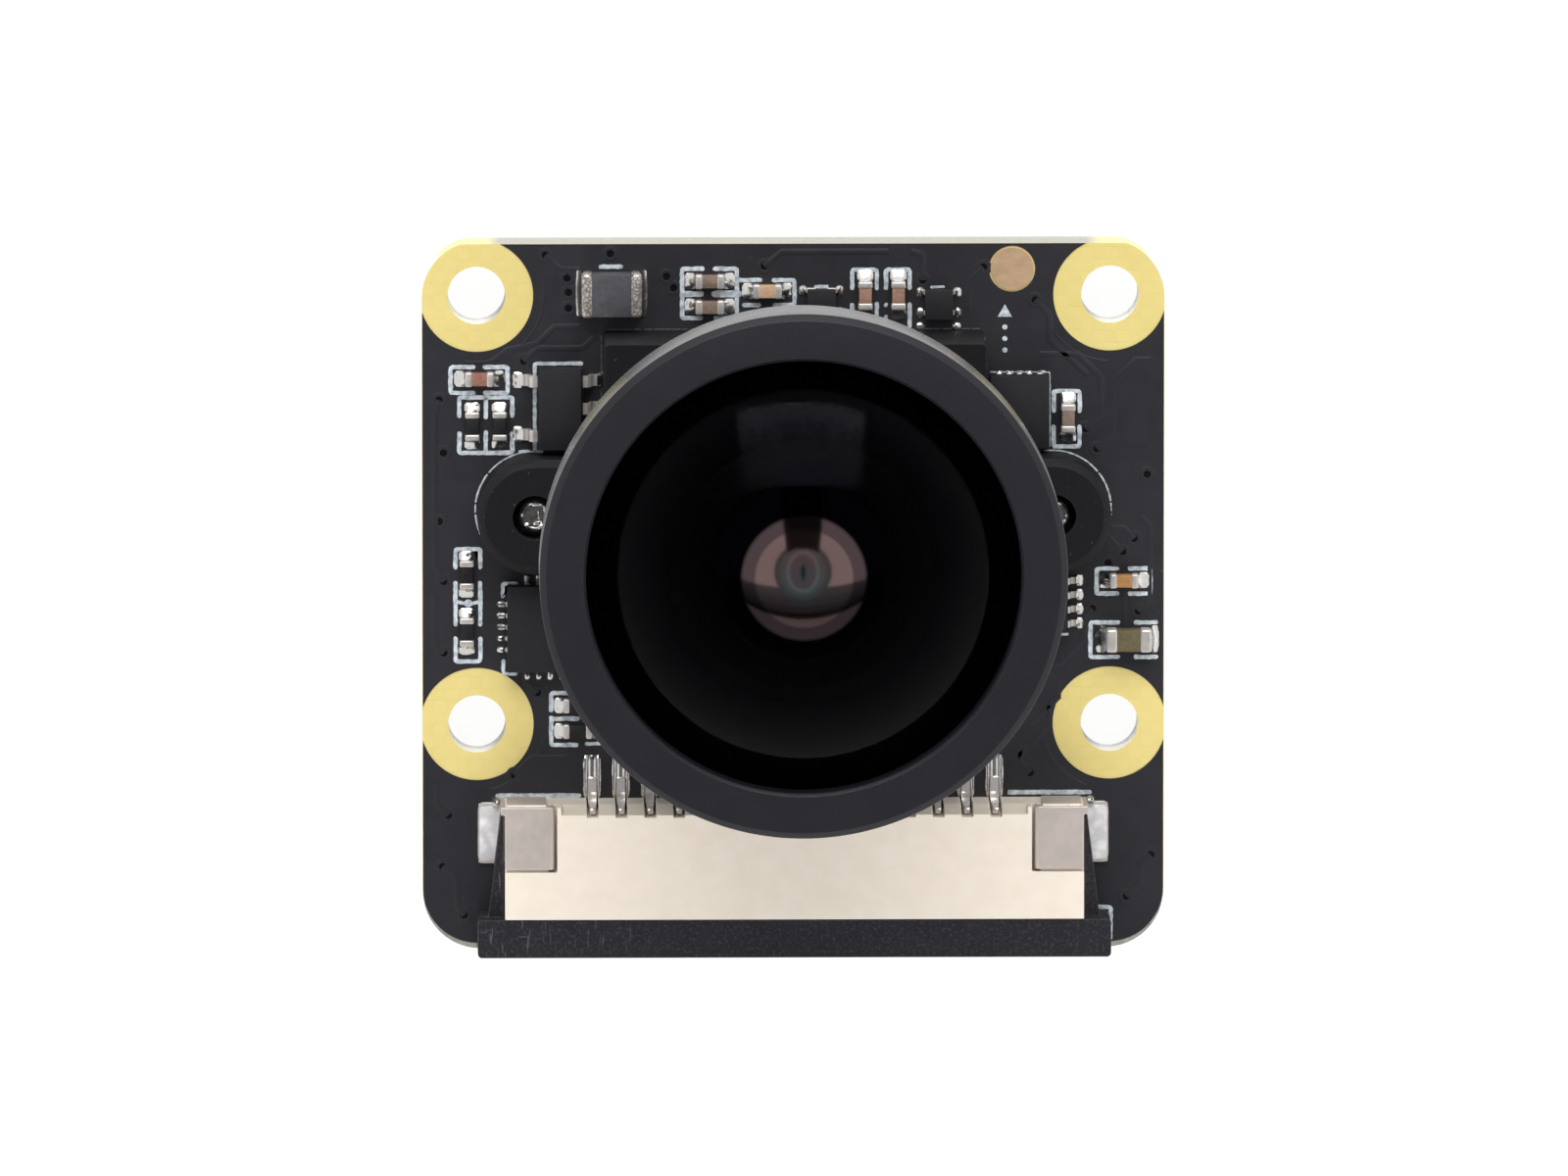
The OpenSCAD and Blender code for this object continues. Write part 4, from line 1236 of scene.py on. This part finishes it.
def dead_black():
    """Matt black that returns almost no light."""
    finish = Finish("dead_black", Roughness=0.8, Specular_IOR_Level=0.15)
    finish.colour(finish.cloudy(2, (5, 5, 6), (12, 12, 13)))
    return finish.relief(finish.noise(12), 0.01).material


DEAD_BLACK = dead_black()
for node in ("front_spacer", "aperture_stop", "rear_retainer"):
    dress(node, DEAD_BLACK)

# ---- Lens glasses ----
# Ground and polished glass under a dark bloom. The front one is a deep meniscus, blackened on its
# edge and flat back, so that only its hollow shines. Three smaller ones sit down the barrel.

GLASS = "lens_glass"


def bloomed_glass():
    """Clear glass whose bloom lets almost nothing glance off."""
    finish = Finish("bloomed_glass", Roughness=0, IOR=1.5, Transmission_Weight=1,
        Specular_Tint=(0.016, 0.014, 0.022, 1))
    finish.colour(finish.cloudy(0.4, (236, 236, 244), (250, 250, 255)))
    return finish.relief(finish.noise(1.5), 0.0002).material


def edge_black():
    """The ink on the glass's edge and flat back, so black that nothing shows in it."""
    finish = Finish("edge_black", Roughness=0.7, Specular_IOR_Level=0)
    finish.colour(finish.cloudy(0.8, (1, 1, 2), (4, 4, 6)))
    return finish.relief(finish.noise(9), 0.004).material


def hollow_bloom_and_painted_reflection():
    """The hollow's mirror bloom, with painted reflection in rings: grey green at the middle, rose brown
    round it, black at the rim.
    """
    finish = Finish("hollow_bloom_and_painted_reflection", Roughness=0.09, Metallic=1)
    level = finish.add("ShaderNodeVectorMath", {0: finish.place, 1: (1, 1, 0)},
        operation="MULTIPLY")
    away = finish.add("ShaderNodeVectorMath", {0: level.outputs[0]}, operation="LENGTH")
    out = away.outputs["Value"]
    # painted reflection: the tint changes by radius into the reflected bands, and goes black at the rim
    # where the reflection is dark
    middle = finish.cloudy(1.5, (102, 108, 110), (112, 116, 114))
    rose = finish.blend(finish.span(out, 0.35, 0.95), middle, tone(128, 106, 101))
    rim = finish.blend(finish.span(out, 1.48, 1.56), rose, tone(88, 74, 74))
    finish.colour(finish.blend(finish.span(out, 1.86, 1.98), rim, tone(3, 3, 5)))
    return finish.relief(finish.noise(2), 0.0002).material


dome_low, dome_high = box_mm("front_glass")
# the dome's curve and reach, the flange under the ring's lip, and the hollow's curve and mouth
DOME_R = 9.6
DOME_EDGE_R = BORE_R - 0.08
FLANGE_R = 7.9
BOWL_R = 4.4
BOWL_MOUTH_R = 3.9
DOME_STEPS = 40
BOWL_STEPS = 32
dome_centre = dome_high.z - DOME_R
bowl_centre = dome_low.z - math.sqrt(BOWL_R ** 2 - BOWL_MOUTH_R ** 2)
dome_section = []
for k in range(DOME_STEPS + 1):
    r = DOME_EDGE_R * math.sin(math.pi / 2 * k / DOME_STEPS)
    dome_section.append((r, dome_centre + math.sqrt(DOME_R ** 2 - r * r)))
flange_top = LIP_Z - 0.04
edge_section = [(DOME_EDGE_R, flange_top), (FLANGE_R, flange_top), (FLANGE_R, dome_low.z)]
bowl_section = []
for k in range(BOWL_STEPS + 1):
    r = BOWL_MOUTH_R * math.cos(math.pi / 2 * k / BOWL_STEPS)
    bowl_section.append((r if k < BOWL_STEPS else 0, bowl_centre + math.sqrt(BOWL_R ** 2 - r * r)))
dome = bmesh.new()
turned(dome, 0, 0, dome_section + edge_section + bowl_section, 192,
    [0] * DOME_STEPS + [1] * 4 + [2] * BOWL_STEPS)
piece(dome, "front_glass_dome", [bloomed_glass(), edge_black(), hollow_bloom_and_painted_reflection()],
    body=GLASS, replaces=["front_glass"], sharp=40)
INNER_GLASS = clear_pane("inner_glass", tone(206, 210, 222), 0.02)
for node in ("second_glass", "third_glass", "rear_glass"):
    dress(node, INNER_GLASS)

# ---- Cable connector ----
# A cream nylon moulding with fifteen slots, each with a formed and tinned contact pushed in from
# behind. A bent tin plate at each end holds the housing down to the board.


def cream_nylon():
    """Cream glass-filled nylon, satin and faintly mottled, a little paler along its edges."""
    finish = Finish("cream_nylon", Roughness=0.5, Subsurface_Weight=0.06,
        Subsurface_Radius=(0.0008, 0.0006, 0.0004), Subsurface_Scale=1)
    mottle = finish.span(finish.noise(1.4, 5), 0.3, 0.7)
    cream = finish.blend(mottle, tone(234, 222, 206), tone(239, 228, 214))
    finish.colour(finish.worn(0.5, cream, (250, 245, 237)))
    return finish.relief(finish.noise(12), 0.004).material


dress("connector_housing", cream_nylon())
soften("connector_housing", 0.03)


def rolled_tin():
    """Tin-plated spring bronze with fine scratches."""
    finish = Finish("rolled_tin", Metallic=0.45, Roughness=0.45)
    scratches = finish.span(finish.noise(3, 2, (14, 1.2, 1)), 0.62, 0.68)
    base = finish.cloudy(1.6, (204, 193, 185), (219, 208, 200), 4)
    finish.colour(finish.blend(finish.math("MULTIPLY", scratches, 0.3), base, tone(226, 218, 210)))
    finish.patchy(4, 0.34, 0.5)
    return finish.relief(finish.noise(8), 0.004).material


def across_x(outline, x0, x1):
    """A side view of heights along Y, at two places along X."""
    return ([(x, y, z) for y, z in outline] for x in (x0, x1))


ROLLED = rolled_tin()
# the strip of each plate's back edge that is bent down over the housing's rear wall, and how far
# over the board it ends
TAB_X = (8.62, 9.98)
TAB_Y = -10.0
TAB_T = 0.08
TAB_BEND_R = 0.1
TAB_FOOT = 0.5
for side, node in ((-1, "hold_down_left"), (1, "hold_down_right")):
    dress(node, ROLLED)
    soften(node, 0.04)
    tab_top = box_mm(node)[1].z - 0.01
    bend_y, bend_z = TAB_Y - TAB_BEND_R, tab_top - TAB_BEND_R
    bend = ([(TAB_Y - 0.2, tab_top)]
        + arc(bend_y, bend_z, TAB_BEND_R, 90, 0, 5)
        + [(TAB_Y, BOARD_TOP + TAB_FOOT), (TAB_Y - TAB_T, BOARD_TOP + TAB_FOOT)]
        + arc(bend_y, bend_z, TAB_BEND_R - TAB_T, 0, 90, 2)
        + [(TAB_Y - 0.2, tab_top - TAB_T)])
    tab = bmesh.new()
    joined(tab, *across_x(bend, side * TAB_X[0], side * TAB_X[1]))
    piece(tab, node + "_tab", [ROLLED])


def formed_tin():
    """Bright tin plate, drawn smooth by the forming tool."""
    finish = Finish("formed_tin", Metallic=0.5, Roughness=0.3)
    finish.colour(finish.cloudy(3, (226, 221, 217), (244, 240, 236)))
    return finish.patchy(2, 0.18, 0.3).material


CONTACTS = 15
CONTACT_HALF = 0.15
# the middle and radius of the blade's round cap, and how far its sides are pinched in
CAP_Y, CAP_Z, CAP_R = -10.29, 2.07, 0.13
PINCH = 0.05
PAD_W = 0.64
PAD_BACK_Y = -8.6
PAD_FRONT_Y = -10.12
# a contact's side view over its foot: the tail on its pad, up to the blade's round cap behind the
# housing, and forward under the cable with a raised point
LEAD = ([(-9.36, 0), (-9.36, 0.11), (-9.4, 0.14), (-9.9, 0.15), (-10.08, 0.28), (-10.16, 0.5)]
    + arc(CAP_Y, CAP_Z, CAP_R, 0, 180, 6)
    + [(-10.42, 0.45), (-12.3, 0.45), (-12.6, 0.62), (-12.9, 0.45), (-13.6, 0.45), (-13.6, 0.2),
        (-10.42, 0.2), (-10.14, 0.02)])
lead_foot = box_mm("connector_contacts")[0].z
lead_outline = [(y, lead_foot + z) for y, z in LEAD]


def pad_pool(phase):
    """Solder round a contact's tail: a round bead along each side and a low hump between."""
    def height(u, v):
        side = max(0.0, 1 - ((abs(u) - 0.76) / 0.25) ** 2) ** 0.5
        middle = max(0.0, 1 - (u / 0.4) ** 2)
        ends = max(0.0, 1 - abs(v) ** 12) ** 0.5
        wave = 1 + 0.16 * math.sin(4.5 * v + phase) * math.copysign(1, u)
        return 0.012 + (0.085 * side * wave + 0.045 * middle) * ends
    return height


leads = bmesh.new()
lead_joints = bmesh.new()
for i in range(CONTACTS):
    x = i - (CONTACTS - 1) / 2
    sides = joined(leads, *across_x(lead_outline, x - CONTACT_HALF, x + CONTACT_HALF))
    for row, way in zip(sides, (1, -1)):
        for vert in row:
            if vert.co.z > lead_foot + CAP_Z - CAP_R:
                vert.co.x += way * PINCH
    lump(lead_joints, (x, (PAD_BACK_Y + PAD_FRONT_Y) / 2, MASK_TOP),
        (PAD_W, PAD_BACK_Y - PAD_FRONT_Y), 0, pad_pool(rng.uniform(0, 6)), (20, 16), round_by=10)
rims = [e for e in leads.edges if abs(e.verts[0].co.x - e.verts[1].co.x) < 1e-6]
bmesh.ops.bevel(leads, geom=rims, offset=0.035, segments=2, profile=0.5, affect="EDGES")
piece(leads, "contact_leads", [formed_tin()], replaces=["connector_contacts"])
piece(lead_joints, "contact_solder", [SOLDER])

# ---- Hold-down pads ----
# Wide tinned pads under the plates' feet, where the solder has frozen dull and lumpy.


def dull_solder():
    """Solder that froze slowly, pale, flaky and dull."""
    finish = Finish("dull_solder", Metallic=0.1, Roughness=0.42)
    flakes = finish.blend(finish.noise(1.6), finish.cells(2.4, "F1"), finish.noise(4))
    finish.colour(finish.blend(finish.span(flakes, 0.25, 0.6), tone(255, 253, 251),
        tone(212, 210, 212)))
    return finish.relief(finish.noise(2.6, 4), 0.03).material


# how far in from the plate's outer side each pad and each leg's joint stands
PAD_IN, PAD_Y = 0.45, -11.32
PAD_SIZE = (0.95, 2.14)
JOINT_IN, JOINT_Y = 0.6, -10.22
DULL = dull_solder()
for side, name in ((-1, "left"), (1, "right")):
    foot_low, foot_high = box_mm("hold_down_" + name)
    outer = max(abs(foot_low.x), abs(foot_high.x))
    pad = bmesh.new()

    def crust(u, v, phase=rng.uniform(0, 6)):
        """The pad's lumpy height."""
        edge = max(0.0, (1 - u ** 8) * (1 - v ** 8)) ** 0.5
        ripple = 0.006 * math.sin(5 * u + phase) * math.sin(8 * v + phase)
        return 0.02 + (0.14 + ripple) * edge

    lump(pad, (side * (outer - PAD_IN), PAD_Y, MASK_TOP), PAD_SIZE, 0, crust, (14, 28), round_by=12)
    piece(pad, "hold_down_pad_" + name, [DULL])
    leg_joint = bmesh.new()
    bead(leg_joint, side * (outer - JOINT_IN), JOINT_Y, (0.34, 0.36), 0.42, 0, (12, 12))
    piece(leg_joint, "hold_down_joint_" + name, [SOLDER])

# ---- Sliding lock ----
# A black nylon bar with a tongue that presses the cable on its contacts. It is pulled out by its
# ends to free the cable, and its arms keep it on the housing.


def black_nylon():
    """Satin black nylon with a dusty grain, worn edges, and scuffs towards its left end."""
    finish = Finish("black_nylon", Roughness=0.52, Specular_IOR_Level=0.36)
    cloud = finish.cloudy(1.5, (24, 22, 28), (36, 34, 40), 5)
    dusty = finish.blend(finish.span(finish.noise(9, 4), 0.5, 0.72, 0, 0.6), cloud, tone(66, 64, 69))
    along = finish.span(finish.noise(1.3, 4, (0.7, 9, 1)), 0.68, 0.74)
    across = finish.span(finish.noise(1.3, 4, (9, 0.7, 1)), 0.62, 0.7)
    place = finish.add("ShaderNodeSeparateXYZ", {0: finish.place})
    left_end = finish.span(place.outputs["X"], -9.0, -4, 0.4, 0.03)
    scuffs = finish.math("MULTIPLY", finish.math("MAXIMUM", across, along), left_end)
    scuffed = finish.blend(scuffs, dusty, tone(120, 118, 123))
    finish.colour(finish.worn(0.4, scuffed, (112, 110, 116), 0.06))
    return finish.relief(finish.noise(9, 4), 0.012).material


dress("connector_slider", black_nylon())
soften("connector_slider", 0.035)

# ---- Studio ----
# A pale floor that keeps a soft shadow, cards that show only in the lens, large soft lamps, and
# the camera.

FLOOR_Z = cad_low.z - 0.00002


def seen_directly(tree):
    """1 for camera, mirror and glass rays, and 0 for light that is scattered on to the module."""
    path = shader_node(tree, "ShaderNodeLightPath")
    seen = path.outputs["Is Camera Ray"]
    for kind in ("Is Glossy Ray", "Is Transmission Ray"):
        seen = shader_node(tree, "ShaderNodeMath", {0: seen, 1: path.outputs[kind]},
            operation="MAXIMUM").outputs[0]
    return seen


def bare(owner):
    """The shader tree of a material or world, emptied."""
    owner.use_nodes = True
    owner.node_tree.nodes.clear()
    return owner.node_tree


def pale_floor():
    """A floor that shows plain white with a soft shadow, and lights the module like pale cloth."""
    material = bpy.data.materials.new("pale_floor")
    tree = bare(material)
    cloth = shader_node(tree, "ShaderNodeBsdfDiffuse", {"Color": (0.8, 0.8, 0.8, 1)})
    shade = shader_node(tree, "ShaderNodeBsdfDiffuse", {"Color": (0.15, 0.15, 0.15, 1)})
    glow = shader_node(tree, "ShaderNodeEmission", {"Strength": 0.93})
    lit = shader_node(tree, "ShaderNodeAddShader", {0: shade.outputs[0], 1: glow.outputs[0]})
    mix = shader_node(tree, "ShaderNodeMixShader",
        {0: seen_directly(tree), 1: cloth.outputs[0], 2: lit.outputs[0]})
    shader_node(tree, "ShaderNodeOutputMaterial", {0: mix.outputs[0]})
    return material


def stage_sheet(name, corners, material):
    """A flat sheet that belongs to the studio and not to the module."""
    sheet = bmesh.new()
    sheet.faces.new([sheet.verts.new(corner) for corner in corners])
    mesh = bpy.data.meshes.new(name)
    sheet.to_mesh(mesh)
    sheet.free()
    mesh.materials.append(material)
    made = bpy.data.objects.new(name, mesh)
    scene.collection.objects.link(made)
    return made


def rectangle(x0, x1, near, far):
    """The corners of a sheet as wide at both ends, which are (y, z)."""
    return [(x0, *near), (x1, *near), (x1, *far), (x0, *far)]


stage_sheet("floor", rectangle(-3, 3, (-3, FLOOR_Z), (3, FLOOR_Z)), pale_floor())


def card(name, corners, shade, in_glass_only=True):
    """A card that only glass sees, or mirrors as well, in a shade from black at 0 to white at 1."""
    material = bpy.data.materials.new(name)
    tree = bare(material)
    glow = shader_node(tree, "ShaderNodeEmission", {"Color": (*shade, 1)})
    shader_node(tree, "ShaderNodeOutputMaterial", {0: glow.outputs[0]})
    made = stage_sheet(name, corners, material)
    made.visible_camera = False
    made.visible_diffuse = False
    made.visible_shadow = False
    made.visible_glossy = not in_glass_only
    return made


HOOD_Z = 1.0


def disc(radius, z, share=1):
    """A round card, drawn in from the sides to a share of its width."""
    return [(x * share, y, z) for x, y in circle(0, 0, radius, 60)]


hood = card("hood", disc(0.8, HOOD_Z + 0.05), (0.13, 0.13, 0.14), in_glass_only=False)
hood.visible_transmission = False
# the cards over the lens, each a step below the last: radius, share of its width, and shade
HOOD_CARDS = [
    ("hood_rim", 0.5, 1, (0.2, 0.24, 0.25)), ("hood_glow", 0.4, 1, (0.3, 0.35, 0.35)),
    ("hood_ring", 0.34, 0.8, (0.5, 0.55, 0.52)), ("hood_inner", 0.28, 0.75, (0.4, 0.28, 0.3)),
    ("hood_hole", 0.17, 0.55, (0.3, 0.32, 0.33)), ("hood_slit", 0.12, 0.25, (0.05, 0.05, 0.05))]
for i, (name, radius, share, shade) in enumerate(HOOD_CARDS):
    card(name, disc(radius, HOOD_Z - 0.01 * i, share), shade)
card("far_flag", [(-0.26, 0.26, HOOD_Z + 0.02), (-1.0, 4.5, 0), (1.0, 4.5, 0),
    (0.26, 0.26, HOOD_Z + 0.02)], (0.02, 0.02, 0.02))
# sheets on the near side that darken outwards, and a grey wall beyond them
SHEET_Z = 1.1
for shade, inner, outer in ((0.2, 0.3, 0.5), (0.14, 0.5, 0.7), (0.08, 0.7, 0.9), (0.01, 0.9, 1.1)):
    card("near_sheet", rectangle(-4, 4, (-inner, SHEET_Z), (-outer, SHEET_Z)),
        (shade * 0.8, shade, shade * 1.1))
card("near_wall", rectangle(-9, 9, (-1.1, SHEET_Z), (-6, 0)), (0.34, 0.34, 0.36))

world = bpy.data.worlds.new("studio")
scene.world = world
sky = bare(world)
fill = shader_node(sky, "ShaderNodeBackground", {"Strength": 0.7})
white = shader_node(sky, "ShaderNodeBackground", {"Strength": 1})
pick = shader_node(sky, "ShaderNodeMixShader",
    {0: seen_directly(sky), 1: fill.outputs[0], 2: white.outputs[0]})
shader_node(sky, "ShaderNodeOutputWorld", {0: pick.outputs[0]})


def soft_lamp(name, place, size, power):
    """A rectangular lamp that faces the module and shows in no glass."""
    light = bpy.data.lights.new(name, "AREA")
    light.shape = "RECTANGLE"
    light.size, light.size_y = size
    light.energy = power
    lamp = bpy.data.objects.new(name, light)
    lamp.location = place
    lamp.rotation_euler = (-Vector(place)).to_track_quat("-Z", "Y").to_euler()
    lamp.visible_transmission = False
    scene.collection.objects.link(lamp)
    return lamp


soft_lamp("far_softbox", (0, 0.5, 0.4), (0.55, 0.42), 3.8)
for name, place, size, power in (
        ("left_softbox", (-0.42, -0.08, 0.42), (0.4, 0.4), 0.3),
        ("right_softbox", (0.42, -0.08, 0.42), (0.4, 0.4), 0.3),
        ("near_softbox", (0, -0.45, 0.42), (0.5, 0.4), 1.7)):
    soft_lamp(name, place, size, power).visible_glossy = False

# the camera stands nearly overhead, leaning a little to the far side and to the left, and aims at
# the board's top face: how far off it stands, how wide it sees there, and its lean in degrees
CAMERA_REACH = 0.9
FRAME_WIDTH = 1600 / 29.35 * MM
LEAN_FAR = 7.26
LEAN_LEFT = 1.09
aim = Vector((-0.32 * MM, -2.76 * MM, BOARD_TOP * MM))
lean_x, lean_y = -math.tan(math.radians(LEAN_LEFT)), math.tan(math.radians(LEAN_FAR))
back = Vector((lean_x, lean_y, 1)).normalized()
lens = bpy.data.cameras.new("camera")
lens.sensor_width = 36
lens.lens = lens.sensor_width * CAMERA_REACH / FRAME_WIDTH
lens.clip_start, lens.clip_end = 0.01, 20
camera = bpy.data.objects.new("camera", lens)
camera.location = aim + back * CAMERA_REACH
sight = -back
right_hand = sight.cross(Vector((0, 1, 0))).normalized()
upward = right_hand.cross(sight)
camera.rotation_euler = Matrix((right_hand, upward, back)).transposed().to_euler()
scene.collection.objects.link(camera)
scene.camera = camera
scene.view_settings.view_transform = "Standard"
